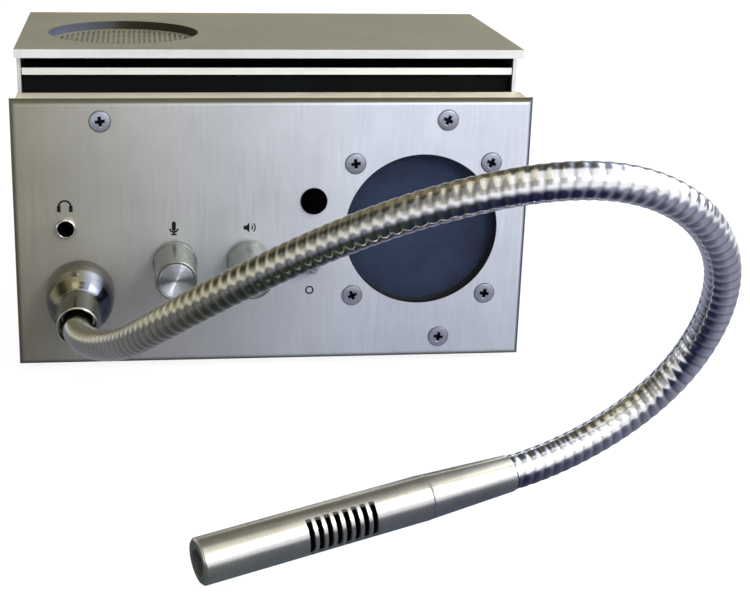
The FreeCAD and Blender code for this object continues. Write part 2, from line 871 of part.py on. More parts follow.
# ---------------------------------------------------------------- speaker
def make_speaker():
    """Square-framed speaker behind a foam gasket and a disc of mesh."""
    half = "speaker_square / 2"
    corner = f"speaker_across - {half}"
    foot = f"{SPEAKER_Z} - {half}"
    bolts = speaker_corners()

    radius = "screw_radius + hole_slack"

    def drilled(name, blank, extra):
        holes = [
            rod(f"{name}_hole_{i}", radius, "frame_setback", (a, PANEL_BACK, b), BACKWARD)
            for i, (a, b) in enumerate(bolts)
        ]
        return cut(name, blank, holes + extra)

    def opening(name, wide):
        seat = ("speaker_across", PANEL_BACK, SPEAKER_Z)
        return rod(name, wide, "frame_setback", seat, BACKWARD)

    foam = block(
        "foam_blank", ("speaker_square", "gasket_thickness", "speaker_square"),
        (corner, PANEL_BACK, foot),
    )
    window = opening("foam_opening", "speaker_opening + gasket_slack")
    keep(drilled("foam_cut", foam, [window]), "speaker_gasket")
    mesh = rod(
        "mesh_disc",
        "speaker_opening + mesh_overlap",
        "mesh_thickness",
        ("speaker_across", f"{PANEL_BACK} + gasket_thickness", SPEAKER_Z),
        BACKWARD,
    )
    keep(mesh, "speaker_mesh")
    flange = block(
        "flange_blank", ("speaker_square", "basket_sheet", "speaker_square"),
        (corner, SPEAKER_FRONT, foot),
    )
    window = opening("flange_opening", "speaker_opening - basket_lip")
    plate = drilled("flange_drilled", flange, [window])
    basket = turned(
        "basket",
        [
            ("speaker_opening - basket_lip", "0"),
            ("speaker_opening", "0"),
            ("speaker_opening", "basket_wall"),
            ("pole_radius + basket_sheet", "basket_depth"),
            ("voice_coil_radius", "basket_depth"),
            ("voice_coil_radius", "basket_depth - basket_sheet"),
            ("pole_radius + 0.4 * basket_sheet", "basket_depth - basket_sheet"),
            ("speaker_opening - basket_lip", "basket_wall - 0.4 * basket_sheet"),
        ],
        ("speaker_across", SPEAKER_FRONT, SPEAKER_Z),
        BACKWARD,
    )
    keep(fuse("speaker_frame_fused", [plate, basket]), "speaker_frame")
    magnet = turned(
        "magnet",
        [
            ("0", "0"),
            ("pole_radius", "0"),
            ("pole_radius", "magnet_step"),
            ("magnet_radius", "magnet_step"),
            ("magnet_radius", "magnet_depth - magnet_step"),
            ("pole_radius", "magnet_depth - magnet_step"),
            ("pole_radius", "magnet_depth"),
            ("0", "magnet_depth"),
        ],
        ("speaker_across", f"{SPEAKER_FRONT} + basket_depth", SPEAKER_Z),
        BACKWARD,
    )
    keep(magnet, "speaker_magnet")
    surround = "(speaker_opening - 1.2 * basket_lip)"
    cone = turned(
        "cone",
        [
            ("0", "cone_cap_depth"),
            ("voice_coil_radius * 0.875", "cone_cap_depth + 3 * cone_paper"),
            ("voice_coil_radius", "cone_depth"),
            (f"{surround} - surround_width", "cone_edge_depth + cone_paper"),
            (f"{surround} - surround_width / 2", "cone_edge_depth / 2"),
            (surround, "cone_edge_depth"),
            (surround, "cone_edge_depth + cone_paper"),
            (f"{surround} - surround_width / 2", "cone_edge_depth / 2 + cone_paper"),
            (f"{surround} - surround_width * 0.875", "cone_edge_depth + 2.2 * cone_paper"),
            ("voice_coil_radius", "cone_depth + 2.2 * cone_paper"),
            ("0", "cone_depth + 2.2 * cone_paper"),
        ],
        ("speaker_across", SPEAKER_FRONT, SPEAKER_Z),
        BACKWARD,
    )
    keep(cone, "speaker_cone")
    reach = "sheet + gasket_thickness + mesh_thickness + basket_sheet"
    screws = [
        front_screw(f"speaker_screw_{i}", a, b, f"{reach} + speaker_screw_end")
        for i, (a, b) in enumerate(bolts)
    ]
    keep(group("speaker_screw_group", screws), "speaker_screws")
    nuts = []
    for i, (a, b) in enumerate(bolts):
        seat = (a, f"front_plane + {reach}", b)
        prism = hexagon(
            f"nut_prism_{i}", "speaker_nut_flats", "speaker_nut_height", seat, BACKWARD
        )
        bore = rod(
            f"nut_bore_{i}",
            "screw_radius",
            "3 * speaker_nut_height",
            (a, f"front_plane + {reach} - speaker_nut_height", b),
            BACKWARD,
        )
        nuts.append(cut(f"speaker_nut_{i}", prism, [bore]))
    keep(group("speaker_nut_group", nuts), "speaker_nuts")


# ---------------------------------------------------------------- controls
def make_control(name, across):
    """A potentiometer with its shaft, and the knob that the shaft carries."""
    seat = (across, "front_plane", KNOB_Z)
    bore = "(shaft_radius + running_gap)"
    pot = turned(
        name + "_pot_body",
        [
            ("0", "-sheet - pot_depth"),
            ("pot_radius", "-sheet - pot_depth"),
            ("pot_radius", "-sheet"),
            ("bushing_radius", "-sheet"),
            ("bushing_radius", "bushing_end"),
            (bore, "bushing_end"),
            (bore, "-sheet - pot_depth + pot_floor"),
            ("0", "-sheet - pot_depth + pot_floor"),
        ],
        seat,
        OUTWARD,
    )
    keep(pot, name + "_pot")
    nut_seat = (across, "front_plane", KNOB_Z)
    prism = hexagon(name + "_nut_prism", "pot_nut_flats", "pot_nut_height", nut_seat, OUTWARD)
    hole = rod(
        name + "_nut_hole",
        "bushing_radius",
        "3 * pot_nut_height",
        (across, "front_plane + pot_nut_height", KNOB_Z),
        OUTWARD,
    )
    nut = cut(name + "_nut", prism, [hole])
    shaft = turned(
        name + "_shaft_rod",
        [
            ("0", "-sheet - pot_depth + pot_floor + running_gap"),
            ("shaft_radius", "-sheet - pot_depth + pot_floor + running_gap"),
            ("shaft_radius", "shaft_end"),
            ("0", "shaft_end"),
        ],
        seat,
        OUTWARD,
    )
    keep(shaft, name + "_shaft")
    recess = "(knob_end - knob_disc_thickness)"
    socket = "(knob_gap + knob_socket_depth)"
    knob = turned(
        name + "_knob_body",
        [
            ("knob_socket_radius", "knob_gap"),
            ("knob_base_radius", "knob_gap"),
            ("knob_base_radius", "knob_gap + knob_skirt"),
            ("knob_face_radius", "knob_end - knob_edge"),
            ("knob_face_radius - knob_edge", "knob_end"),
            ("knob_disc_radius", "knob_end"),
            ("knob_disc_radius", recess),
            ("0", recess),
            ("0", "shaft_end"),
            ("shaft_radius", "shaft_end"),
            ("shaft_radius", socket),
            ("knob_socket_radius", socket),
        ],
        seat,
        OUTWARD,
    )
    screw_at = (across, f"front_plane - {socket} - set_screw_up", KNOB_Z)
    down = App.Rotation(App.Vector(1, 0, 0), 180)
    tapping = rod(name + "_tapping", "set_screw_radius", "20", screw_at, down)
    keep(cut(name + "_knob_cut", knob, [tapping]), name + "_knob")
    disc = turned(
        name + "_disc",
        [
            ("0", recess),
            ("knob_disc_radius", recess),
            ("knob_disc_radius", "knob_end"),
            ("knob_dimple_radius", "knob_end"),
            ("0", "knob_end - knob_dimple_depth"),
        ],
        seat,
        OUTWARD,
    )
    keep(disc, name + "_knob_disc")
    grub = rod(
        name + "_grub",
        "set_screw_radius",
        "knob_face_radius - shaft_radius - set_screw_sink",
        (screw_at[0], screw_at[1], f"{KNOB_Z} - shaft_radius"),
        down,
    )
    key = hexagon(
        name + "_grub_key",
        "key_flats",
        "2 * key_depth",
        (screw_at[0], screw_at[1], f"{KNOB_Z} - knob_face_radius + set_screw_sink + key_depth"),
        down,
    )
    keep(cut(name + "_grub_cut", grub, [key]), name + "_set_screw")
    return nut


def make_switch():
    """A miniature toggle switch: body, bushing nut and the lever on its ball."""
    z = "(ground_gap + toggle_up)"
    seat = ("toggle_across", "front_plane", z)
    case = block(
        "toggle_case",
        ("toggle_body_width", "toggle_body_depth", "toggle_body_height"),
        (
            "toggle_across - toggle_body_width / 2",
            PANEL_BACK,
            f"{z} - toggle_body_height / 2",
        ),
    )
    bore = "(toggle_ball_radius + running_gap)"
    bushing = turned(
        "toggle_bushing",
        [
            ("0", "-2 * sheet"),
            ("toggle_bushing_radius", "-2 * sheet"),
            ("toggle_bushing_radius", "toggle_bushing_end"),
            (bore, "toggle_bushing_end"),
            (bore, "toggle_pivot_out - toggle_ball_radius - toggle_seat_slack"),
            ("0", "toggle_pivot_out - toggle_ball_radius - toggle_seat_slack"),
        ],
        seat,
        OUTWARD,
    )
    keep(fuse("toggle_fused", [case, bushing]), "switch_body")
    prism = hexagon("toggle_prism", "toggle_nut_flats", "toggle_nut_height", seat, OUTWARD)
    hole = rod(
        "toggle_nut_hole",
        "toggle_bushing_radius",
        "3 * toggle_nut_height",
        ("toggle_across", "front_plane + toggle_nut_height", z),
        OUTWARD,
    )
    keep(cut("toggle_nut_cut", prism, [hole]), "switch_nut")
    pivot = ("toggle_across", "front_plane - toggle_pivot_out", z)
    tilt = App.Rotation(App.Vector(1, 0, 0), 90 - value("toggle_throw"))
    bat = turned(
        "toggle_bat",
        [
            ("0", "0"),
            ("toggle_lever_radius", "0"),
            ("toggle_lever_radius", "toggle_waist"),
            ("toggle_tip_radius", "toggle_lever_length - toggle_tip_bevel"),
            ("toggle_tip_radius - toggle_tip_bevel", "toggle_lever_length"),
            ("0", "toggle_lever_length"),
        ],
        pivot,
        tilt,
    )
    end = ball("toggle_ball", "toggle_ball_radius", pivot, tilt)
    keep(fuse("lever_fused", [end, bat]), "switch_lever")


def make_lamp_and_jack():
    z = "(ground_gap + lamp_up)"
    seat = ("lamp_across", "front_plane", z)
    bezel = turned(
        "lamp_bezel_body",
        [
            ("lamp_lens_radius", "-lamp_depth"),
            ("lamp_barrel_radius", "-lamp_depth"),
            ("lamp_barrel_radius", "0"),
            ("lamp_rim_radius", "0"),
            ("lamp_rim_radius", "lamp_rim_height / 2"),
            ("lamp_rim_radius - lamp_rim_bevel", "lamp_rim_height"),
            ("lamp_lens_radius", "lamp_rim_height"),
        ],
        seat,
        OUTWARD,
    )
    keep(bezel, "lamp_bezel")
    lens = turned(
        "lamp_lens_body",
        [
            ("0", "-lamp_lens_depth"),
            ("lamp_lens_radius", "-lamp_lens_depth"),
            ("lamp_lens_radius", "lamp_rim_height"),
            ("lamp_lens_radius * 0.7", "lamp_rim_height + lamp_dome * 0.7"),
            ("0", "lamp_rim_height + lamp_dome"),
        ],
        seat,
        OUTWARD,
    )
    keep(lens, "lamp_lens")
    led = turned(
        "led_body",
        [
            ("0", "-lamp_depth"),
            ("led_radius + led_flange", "-lamp_depth"),
            ("led_radius + led_flange", "-lamp_depth + led_rim"),
            ("led_radius", "-lamp_depth + led_rim"),
            ("led_radius", "-led_top - 0.9 * led_radius"),
            ("led_radius * 0.65", "-led_top - 0.25 * led_radius"),
            ("0", "-led_top"),
        ],
        seat,
        OUTWARD,
    )
    keep(led, "lamp_led")
    z = "(ground_gap + jack_up)"
    seat = ("jack_across", "front_plane", z)
    case = block(
        "jack_case",
        ("jack_body_width", "jack_body_depth", "jack_body_width"),
        ("jack_across - jack_body_width / 2", PANEL_BACK, f"{z} - jack_body_width / 2"),
    )
    thread = rod(
        "jack_thread",
        "jack_thread_radius",
        "2 * sheet + jack_nut_height",
        ("jack_across", f"{PANEL_BACK} + sheet", z),
        OUTWARD,
    )
    bore = rod(
        "jack_bore",
        "jack_bore_radius",
        "jack_nut_height + jack_body_depth",
        ("jack_across", "front_plane - jack_nut_height", z),
        BACKWARD,
    )
    keep(cut("jack_cut", fuse("jack_fused", [case, thread]), [bore]), "headset_jack")
    ring = turned(
        "jack_ring",
        [
            ("jack_thread_radius", "0"),
            ("jack_nut_radius", "0"),
            ("jack_nut_radius", "jack_nut_height - jack_nut_bevel"),
            ("jack_nut_radius - jack_nut_bevel", "jack_nut_height"),
            ("jack_thread_radius", "jack_nut_height"),
        ],
        seat,
        OUTWARD,
    )
    keep(ring, "jack_nut")


# ---------------------------------------------------------------- gooseneck and microphone
def route_point(name):
    return App.Vector(
        value(f"{name}_across"),
        value(f"front_plane - {name}_out"),
        value(f"ground_gap + {name}_up"),
    )


def mic_direction():
    return App.Vector(*(value(f"mic_direction_{axis}") for axis in "xyz")).normalize()


def neck_curve():
    """A smooth curve through the joints, leaving the socket square to the panel."""
    points = [route_point(name) for name, *_ in ROUTE]
    curve = Part.BSplineCurve()
    curve.interpolate(
        Points=points, InitialTangent=App.Vector(0, -1, 0), FinalTangent=mic_direction()
    )
    return curve


def tangent_at(curve, parameter):
    return curve.tangent(parameter)[0].normalize()


def ring(centre, turn, radius):
    """A circle square to the neck's line, started from the turned X direction."""
    circle = Part.Circle(App.Vector(), App.Vector(0, 0, 1), radius).toShape()
    circle.Placement = App.Placement(centre, turn)
    return Part.Wire([circle])


def turn_along(direction, before):
    """The rotation nearest to the one before whose Z axis is the given direction."""
    axis = before.multVec(App.Vector(0, 0, 1))
    return App.Rotation(axis, direction) * before


def ridged_tube(curve, start, end, lead=0.0):
    """A tube along the curve from one length to another, ridged like a spiral conduit.
    lead adds a straight run before a curve that starts at its own beginning."""
    radius, groove = value("neck_radius"), value("neck_groove")
    length = end - start
    steps = 2 * max(2, round(length / value("neck_ridge_pitch")))
    turn = App.Rotation(App.Vector(0, 0, 1), App.Vector(0, -1, 0))
    wires = []
    if lead:
        direction = tangent_at(curve, curve.FirstParameter)
        turn = turn_along(direction, turn)
        behind = curve.value(curve.FirstParameter) - direction * lead
        wires.append(ring(behind, turn, radius - groove))
    for step in range(steps + 1):
        parameter = curve.parameterAtDistance(
            start + length * step / steps, curve.FirstParameter
        )
        turn = turn_along(tangent_at(curve, parameter), turn)
        here = radius if step % 2 else radius - groove
        wires.append(ring(curve.value(parameter), turn, here))
    return Part.makeLoft(wires, True, True)


def ball_at(curve, name, radius):
    """A ball at a joint of the route, with its poles on the neck's line."""
    pivot = route_point(name)
    return Part.makeSphere(radius, pivot, tangent_at(curve, curve.parameter(pivot)))


def make_gooseneck():
    """Eight lengths of neck, each seated on the next by a ball in a cup."""
    curve = neck_curve()
    first = curve.FirstParameter
    stations = [
        curve.length(first, curve.parameter(route_point(name))) for name in BENDS
    ]
    total = curve.length()
    back, gap = value("neck_cup_back"), value("neck_child_start")
    socket_ball = value("neck_ball_radius")
    cup = socket_ball + value("running_gap")
    starts = [0.0] + [s + gap for s in stations]
    ends = [s - back for s in stations] + [total]
    for index, (start, end) in enumerate(zip(starts, ends)):
        lead = value("neck_stub_inside") if index == 0 else 0.0
        solid = ridged_tube(curve, start, end, lead)
        if index > 0:
            solid = solid.fuse(ball_at(curve, BENDS[index - 1], socket_ball))
        if index < len(BENDS):
            solid = solid.cut(ball_at(curve, BENDS[index], cup))
        solid = solid.removeSplitter()
        solid = solid.Solids[0] if len(solid.Solids) == 1 else solid
        feature = DOC.addObject("Part::Feature", f"neck_{index}")
        feature.Shape = solid
        feature.Placement = App.Placement()
        keep(feature, "gooseneck_root" if index == 0 else f"gooseneck_{index}")


def mic_rotation():
    return App.Rotation(App.Vector(0, 0, 1), mic_direction())


def make_socket():
    """The bell-shaped metal socket that carries the gooseneck, with its nut behind."""
    z = "(ground_gap + socket_up)"
    seat = ("socket_across", "front_plane", z)
    bore = "(neck_radius + socket_slack)"
    steps = int(value("socket_dome_steps"))
    dome = [
        (
            f"socket_shoulder_radius + (socket_base_radius - socket_shoulder_radius) * {cos(angle):.4f}",
            f"socket_rim + (socket_bell - socket_rim) * {sin(angle):.4f}",
        )
        for angle in (pi / 2 * (1 - i / steps) for i in range(steps + 1))
    ]
    bell = turned(
        "socket_bell_body",
        [
            ("0", "socket_end - neck_stub_inside"),
            (bore, "socket_end - neck_stub_inside"),
            (bore, "socket_end - socket_mouth_depth"),
            ("socket_mouth_bore", "socket_end - socket_mouth_depth"),
            ("socket_mouth_bore", "socket_end"),
            ("socket_mouth_radius", "socket_end"),
            ("socket_shoulder_radius - socket_step", "socket_bell + 2 * socket_step"),
            *dome,
            ("socket_base_radius", "0"),
            ("socket_thread_radius", "0"),
            ("socket_thread_radius", "-sheet - socket_nut_height - socket_thread_end"),
            ("0", "-sheet - socket_nut_height - socket_thread_end"),
        ],
        seat,
        OUTWARD,
    )
    keep(bell, "gooseneck_socket")
    prism = hexagon(
        "socket_prism",
        "socket_nut_flats",
        "socket_nut_height",
        ("socket_across", PANEL_BACK, z),
        BACKWARD,
    )
    hole = rod(
        "socket_nut_hole",
        "socket_thread_radius",
        "frame_setback",
        ("socket_across", "front_plane", z),
        BACKWARD,
    )
    keep(cut("socket_nut_cut", prism, [hole]), "socket_nut")


def make_microphone():
    """The tapered tail, the slotted barrel, and what the barrel holds."""
    tail_at = ("tail_across", "front_plane - tail_out", "ground_gap + tail_up")
    turn = mic_rotation()
    inner = "(mic_radius - mic_wall)"
    end = "(mic_tail_length + mic_barrel_length)"
    tail = turned(
        "mic_tail_body",
        [
            ("0", "0"),
            ("mic_tail_radius - mic_edge", "0"),
            ("mic_tail_radius", "mic_edge"),
            ("mic_radius - 2 * running_gap", "mic_tail_length"),
            (f"{inner} - running_gap", "mic_tail_length"),
            (f"{inner} - running_gap", "mic_tail_length + mic_spigot"),
            ("0", "mic_tail_length + mic_spigot"),
        ],
        tail_at,
        turn,
    )
    keep(tail, "mic_tail")
    tube = turned(
        "mic_tube",
        [
            (inner, "mic_tail_length + fold_gap"),
            ("mic_radius", "mic_tail_length + fold_gap"),
            ("mic_radius", f"{end} - mic_edge"),
            ("mic_radius - mic_edge", end),
            ("mic_mouth_radius", end),
            ("mic_mouth_radius", f"{end} - mic_mouth_lip"),
            (inner, f"{end} - mic_mouth_lip"),
        ],
        tail_at,
        turn,
    )
    cutters = []
    base = App.Vector(*(value(text) for text in tail_at))
    facing = App.Rotation(App.Vector(0, 0, 1), -value("mic_slot_turn"))
    for i in range(int(value("mic_slot_count"))):
        slot = DOC.addObject("Part::Box", f"mic_slot_{i}")
        slot.setExpression("Length", linked("2 * mic_radius"))
        slot.setExpression("Width", linked("mic_radius"))
        slot.setExpression("Height", linked("mic_slot_width"))
        along = value(f"mic_tail_length + mic_slot_start + {i} * mic_slot_pitch")
        corner = App.Vector(-value("mic_radius"), value("mic_slot_chord"), along)
        slot.Placement = App.Placement(base, turn * facing) * App.Placement(corner, UPRIGHT)
        cutters.append(slot)
    keep(cut("mic_barrel_cut", tube, cutters), "mic_barrel")
    slots_start = "(mic_tail_length + mic_slot_start - mic_lining_overlap)"
    slots_run = "mic_slot_count * mic_slot_pitch + mic_lining_overlap"
    slots_end = f"(mic_tail_length + mic_slot_start + {slots_run})"
    lining = turned(
        "mic_lining",
        [
            (f"{inner} - mic_lining", slots_start),
            (f"{inner} - running_gap", slots_start),
            (f"{inner} - running_gap", slots_end),
            (f"{inner} - mic_lining", slots_end),
        ],
        tail_at,
        turn,
    )
    keep(lining, "mic_screen")
    pad_front = f"({end} - mic_mouth_lip - 2 * running_gap)"
    pad_back = f"({pad_front} - mic_pad_thickness)"
    rim = f"({pad_front} - 0.7 * mic_pad_thickness)"
    capsule = turned(
        "mic_capsule_body",
        [
            ("0", f"{rim} - mic_capsule_length"),
            (f"{inner} - running_gap", f"{rim} - mic_capsule_length"),
            (f"{inner} - running_gap", rim),
            ("mic_mouth_radius + 2 * running_gap + mic_lining", rim),
            ("mic_mouth_radius + 2 * running_gap + mic_lining", pad_back),
            ("0", pad_back),
        ],
        tail_at,
        turn,
    )
    keep(capsule, "mic_capsule")
    pad = turned(
        "mic_pad_body",
        [
            ("0", pad_back),
            ("mic_mouth_radius + mic_lining", pad_back),
            ("mic_mouth_radius + mic_lining", pad_front),
            ("0", pad_front),
        ],
        tail_at,
        turn,
    )
    keep(pad, "mic_pad")


# ---------------------------------------------------------------- inside and rear
def make_electronics():
    front = "(front_plane + board_setback)"
    left = "(board_across - board_width / 2)"
    under = f"({FLOOR_TOP} + board_height)"
    size = ("board_width", "board_depth", "board_thickness")
    board = block("board_blank", size, (left, front, under))
    posts, screws, holes = [], [], []
    for i, (x, y) in enumerate((x, y) for x in (0, 1) for y in (0, 1)):
        at_x = f"{left} + post_inset + {x} * (board_width - 2 * post_inset)"
        at_y = f"{front} + post_inset + {y} * (board_depth - 2 * post_inset)"
        holes.append(
            rod(
                f"board_hole_{i}",
                "board_hole_radius",
                "3 * board_thickness",
                (at_x, at_y, f"{under} - board_thickness"),
            )
        )
        post = turned(
            f"board_post_{i}",
            [
                ("post_bore_radius", "0"),
                ("post_radius", "0"),
                ("post_radius", "board_height"),
                ("post_bore_radius", "board_height"),
            ],
            (at_x, at_y, FLOOR_TOP),
        )
        posts.append(post)
        head_top = "board_thickness + board_head_height"
        profile = [
            ("0", "-board_screw_length"),
            ("post_bore_radius", "-board_screw_length"),
            ("post_bore_radius", "board_thickness"),
            ("board_head_radius", "board_thickness"),
            ("board_head_radius", f"{head_top} - 0.4 * board_head_height"),
            ("board_head_radius - 0.4 * board_head_height", head_top),
            ("0", head_top),
        ]
        screws.append(turned(f"board_screw_{i}", profile, (at_x, at_y, under)))
    keep(cut("board_cut", board, holes), "circuit_board")
    keep(group("board_post_group", posts), "board_posts")
    keep(group("board_screw_group", screws), "board_screws")
    top = f"({under} + board_thickness)"
    cans = []
    for i, share in enumerate((1, 0.8, 0.65)):
        at = (f"{left} + can_inset", f"{front} + can_inset + {i} * can_pitch", top)
        cans.append(rod(f"can_{i}", f"can_radius * {share}", f"can_height * {share}", at))
    keep(group("capacitor_group", cans), "capacitors")
    corner = f"({left} + sink_left)"
    near = f"{front} + sink_front"
    fins = [block("sink_base", ("sink_width", "sink_depth", "sink_foot"), (corner, near, top))]
    count = int(value("fin_count"))
    for i in range(count):
        at = f"{corner} + {i} * (sink_width - fin_thickness) / {count - 1}"
        size = ("fin_thickness", "sink_depth", "sink_height")
        fins.append(block(f"sink_fin_{i}", size, (at, near, top)))
    keep(fuse("sink_fused", fins), "heat_sink")


def make_rear():
    """The rear panel with its cable gland and the strip of screw terminals."""
    inner = f"({SHELL_HALF} - sheet - fold_gap)"
    y = f"({BACK} - sheet)"
    shoulder = f"({PLATE_UNDER} - sheet - fold_gap)"
    wall = block(
        "rear_blank",
        (f"2 * {inner}", "sheet", f"{shoulder} - {FLOOR_TOP}"),
        (f"-{inner}", y, FLOOR_TOP),
    )
    half = f"({SHELL_HALF} - top_flange - fold_gap)"
    rise = block(
        "rear_rise",
        (f"2 * {half}", "sheet", f"{PLATE_UNDER} - {shoulder}"),
        (f"-{half}", y, shoulder),
    )
    folded = [wall, rise]
    for side, left in (("left", f"-{inner}"), ("right", f"{inner} - sheet")):
        folded.append(
            block(
                f"rear_{side}_ear",
                ("sheet", "rear_ear", f"{LID_UNDER} - {FLOOR_TOP} - fold_gap"),
                (left, f"{BACK} - rear_ear", FLOOR_TOP),
            )
        )
    gland_z = "(ground_gap + gland_height)"
    hole = rod(
        "gland_hole",
        "gland_radius - gland_neck",
        "3 * sheet",
        (GLAND_ACROSS, f"{y} - sheet", gland_z),
        BACKWARD,
    )
    keep(cut("rear_cut", fuse("rear_folded", folded), [hole]), "rear_panel")
    grommet = turned(
        "grommet_body",
        [
            ("gland_bore_radius", "-sheet - gland_rim"),
            ("gland_radius", "-sheet - gland_rim"),
            ("gland_radius", "-sheet"),
            ("gland_radius - gland_neck", "-sheet"),
            ("gland_radius - gland_neck", "0"),
            ("gland_radius", "0"),
            ("gland_radius - gland_neck / 2", "gland_collar"),
            ("gland_bore_radius", "gland_collar"),
        ],
        (GLAND_ACROSS, BACK, gland_z),
        BACKWARD,
    )
    keep(grommet, "cable_grommet")
    make_terminals()


def make_terminals():
    """A strip of screw terminals in open cells, on the rear panel."""
    z = "(ground_gap + terminal_height)"
    left = "(terminal_across - terminal_width / 2)"
    base = block(
        "terminal_base",
        ("terminal_width", "terminal_depth", "terminal_tall"),
        (left, BACK, f"{z} - terminal_tall / 2"),
    )
    count = int(value("terminal_count"))
    pitch = "((terminal_width - 2 * terminal_margin) / terminal_count)"
    cell_floor = f"({BACK} + terminal_depth - terminal_cell_depth)"
    cells, screws = [], []
    for i in range(count):
        at = f"({left} + terminal_margin + ({i} + 0.5) * {pitch})"
        wide = f"({pitch} - terminal_rib)"
        cells.append(
            block(
                f"cell_{i}",
                (wide, "terminal_cell_depth", "terminal_cell_tall"),
                (f"{at} - {wide} / 2", cell_floor, f"{z} - terminal_cell_tall / 2"),
            )
        )
        head = [
            ("0", "0"),
            ("terminal_head_radius", "0"),
            ("terminal_head_radius", "0.7 * terminal_head_height"),
            ("0.75 * terminal_head_radius", "terminal_head_height"),
            ("0", "terminal_head_height"),
        ]
        screws.append(turned(f"terminal_screw_{i}", head, (at, cell_floor, z), BACKWARD))
    keep(cut("terminal_cut", base, cells), "terminal_strip")
    keep(group("terminal_screw_group", screws), "terminal_screws")


def build():
    make_front_panel()
    make_shell()
    make_frame_and_lid()
    make_base()
    make_top()
    make_panel_fasteners()
    make_speaker()
    nuts = [make_control("talk", "talk_across"), make_control("listen", "listen_across")]
    keep(group("pot_nut_group", nuts), "pot_nuts")
    make_switch()
    make_lamp_and_jack()
    make_socket()
    make_gooseneck()
    make_microphone()
    make_electronics()
    make_rear()


def check_and_export():
    """Stops on any failed object or unsound shape, then writes each sub-part."""
    DOC.recompute()
    for thing in DOC.Objects:
        if "Invalid" in thing.State or "Error" in thing.State:
            raise RuntimeError(f"{thing.Name} did not build: {thing.State}")
    for part in PARTS:
        shape = part.Shape
        if shape.isNull() or not shape.isValid() or not shape.Solids:
            raise RuntimeError(f"{part.Label} has no sound solid")
    os.makedirs("parts", exist_ok=True)
    for part in PARTS:
        part.Shape.exportStep(f"parts/{part.Label}.step")
    print(len(PARTS), "parts written")


build()
check_and_export()
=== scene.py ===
"""Finishes the counter window intercom: brushed sheet metal, spun knobs, a spiral
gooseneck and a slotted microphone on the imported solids. Lengths are metres, and the
profiles of turned pieces are millimetres."""

import math

import bmesh
import bpy
import numpy as np
from bpy.props import FloatProperty, FloatVectorProperty, IntProperty, PointerProperty
from bpy.types import Operator, Panel, PropertyGroup
from mathutils import Matrix, Vector


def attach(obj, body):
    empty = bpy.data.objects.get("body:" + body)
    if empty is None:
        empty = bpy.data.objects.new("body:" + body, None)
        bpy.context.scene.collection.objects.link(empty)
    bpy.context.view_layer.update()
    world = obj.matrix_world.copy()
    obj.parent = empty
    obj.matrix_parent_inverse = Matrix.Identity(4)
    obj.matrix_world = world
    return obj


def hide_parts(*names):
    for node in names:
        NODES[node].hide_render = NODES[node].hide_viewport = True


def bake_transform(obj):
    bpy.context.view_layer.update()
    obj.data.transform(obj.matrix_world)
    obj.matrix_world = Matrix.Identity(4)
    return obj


bl_info = {
    "name": "Window Intercom",
    "version": (1, 0, 0),
    "blender": (4, 5, 0),
    "location": "View3D > Sidebar > Intercom",
    "description": "Finishes a counter intercom with a gooseneck microphone",
    "category": "Add Mesh",
}

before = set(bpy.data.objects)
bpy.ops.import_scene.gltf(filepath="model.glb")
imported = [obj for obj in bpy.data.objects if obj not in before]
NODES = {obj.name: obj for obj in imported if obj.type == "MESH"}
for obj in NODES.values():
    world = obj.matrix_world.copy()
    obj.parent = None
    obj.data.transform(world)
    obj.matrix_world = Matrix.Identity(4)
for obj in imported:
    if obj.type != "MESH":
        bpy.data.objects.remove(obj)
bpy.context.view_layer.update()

MM = 0.001
# The panel's front face, and the middles of what sits in it and in the top plate.
FRONT = -0.057
TALK = Vector((-0.039, FRONT, 0.0437))
LISTEN = Vector((-0.0105, FRONT, 0.0437))
SWITCH = Vector((0.014, FRONT, 0.0425))
LAMP = Vector((0.015, FRONT, 0.0674))
JACK = Vector((-0.0803, FRONT, 0.0577))
SOCKET = Vector((-0.0753, FRONT, 0.0318))
SPEAKER = Vector((0.0577, FRONT, 0.0553))
PANEL = Vector((0, FRONT, 0.05475))
VENT = Vector((-0.0575, 0.001, 0.1193))
OUTWARD = Vector((0, -1, 0))
UP = Vector((0, 0, 1))
MIC_DIRECTION = Vector((-0.945, -0.316, -0.088)).normalized()
# The gooseneck's line: the socket's mouth, seven joints and the microphone's tail.
ROUTE = [
    (-0.0753, -0.0980, 0.0318),
    (-0.0650, -0.1307, 0.0368),
    (-0.0454, -0.1692, 0.0580),
    (-0.0049, -0.2034, 0.0908),
    (0.0365, -0.2251, 0.1126),
    (0.0776, -0.2318, 0.1184),
    (0.1200, -0.2080, 0.0836),
    (0.1133, -0.1917, 0.0443),
    (0.0601, -0.2040, 0.0191),
]
# Straight lead of the gooseneck inside the socket, where its skin starts, and a length to either
# side of a joint.
NECK_LEAD = 0.014
NECK_START = -0.013
BEND_REACH = 0.014
LEAD_POINTS = 40
POINTS_PER_METRE = 4000
# The ridges' height at the foot, as a part of the full one, and how far inside the
# socket they start to rise.
LEAST_RIDGE = 0.05
RIDGE_LEAD = 0.01
# Radius of the loudspeaker's and the vent's openings, just past their walls.
OPENING_RADIUS = 0.0302
# Countersunk screws: radius and depth of the head, and points round it.
SCREW_RADIUS = 0.0040
SCREW_SINK = 0.0013
SCREW_SIDES = 40
MARK_THICKNESS = 0.00005
# Steps round a softened corner, and the length of a texture's wave at scale 1.
ROUNDING_STEPS = 4
WAVE_LENGTH = 0.31


# ---- settings
COLOUR = {"subtype": "COLOR", "size": 3, "min": 0, "max": 1}
LENGTH = {"subtype": "DISTANCE", "unit": "LENGTH", "precision": 5}
POWER = {"subtype": "POWER", "unit": "POWER"}


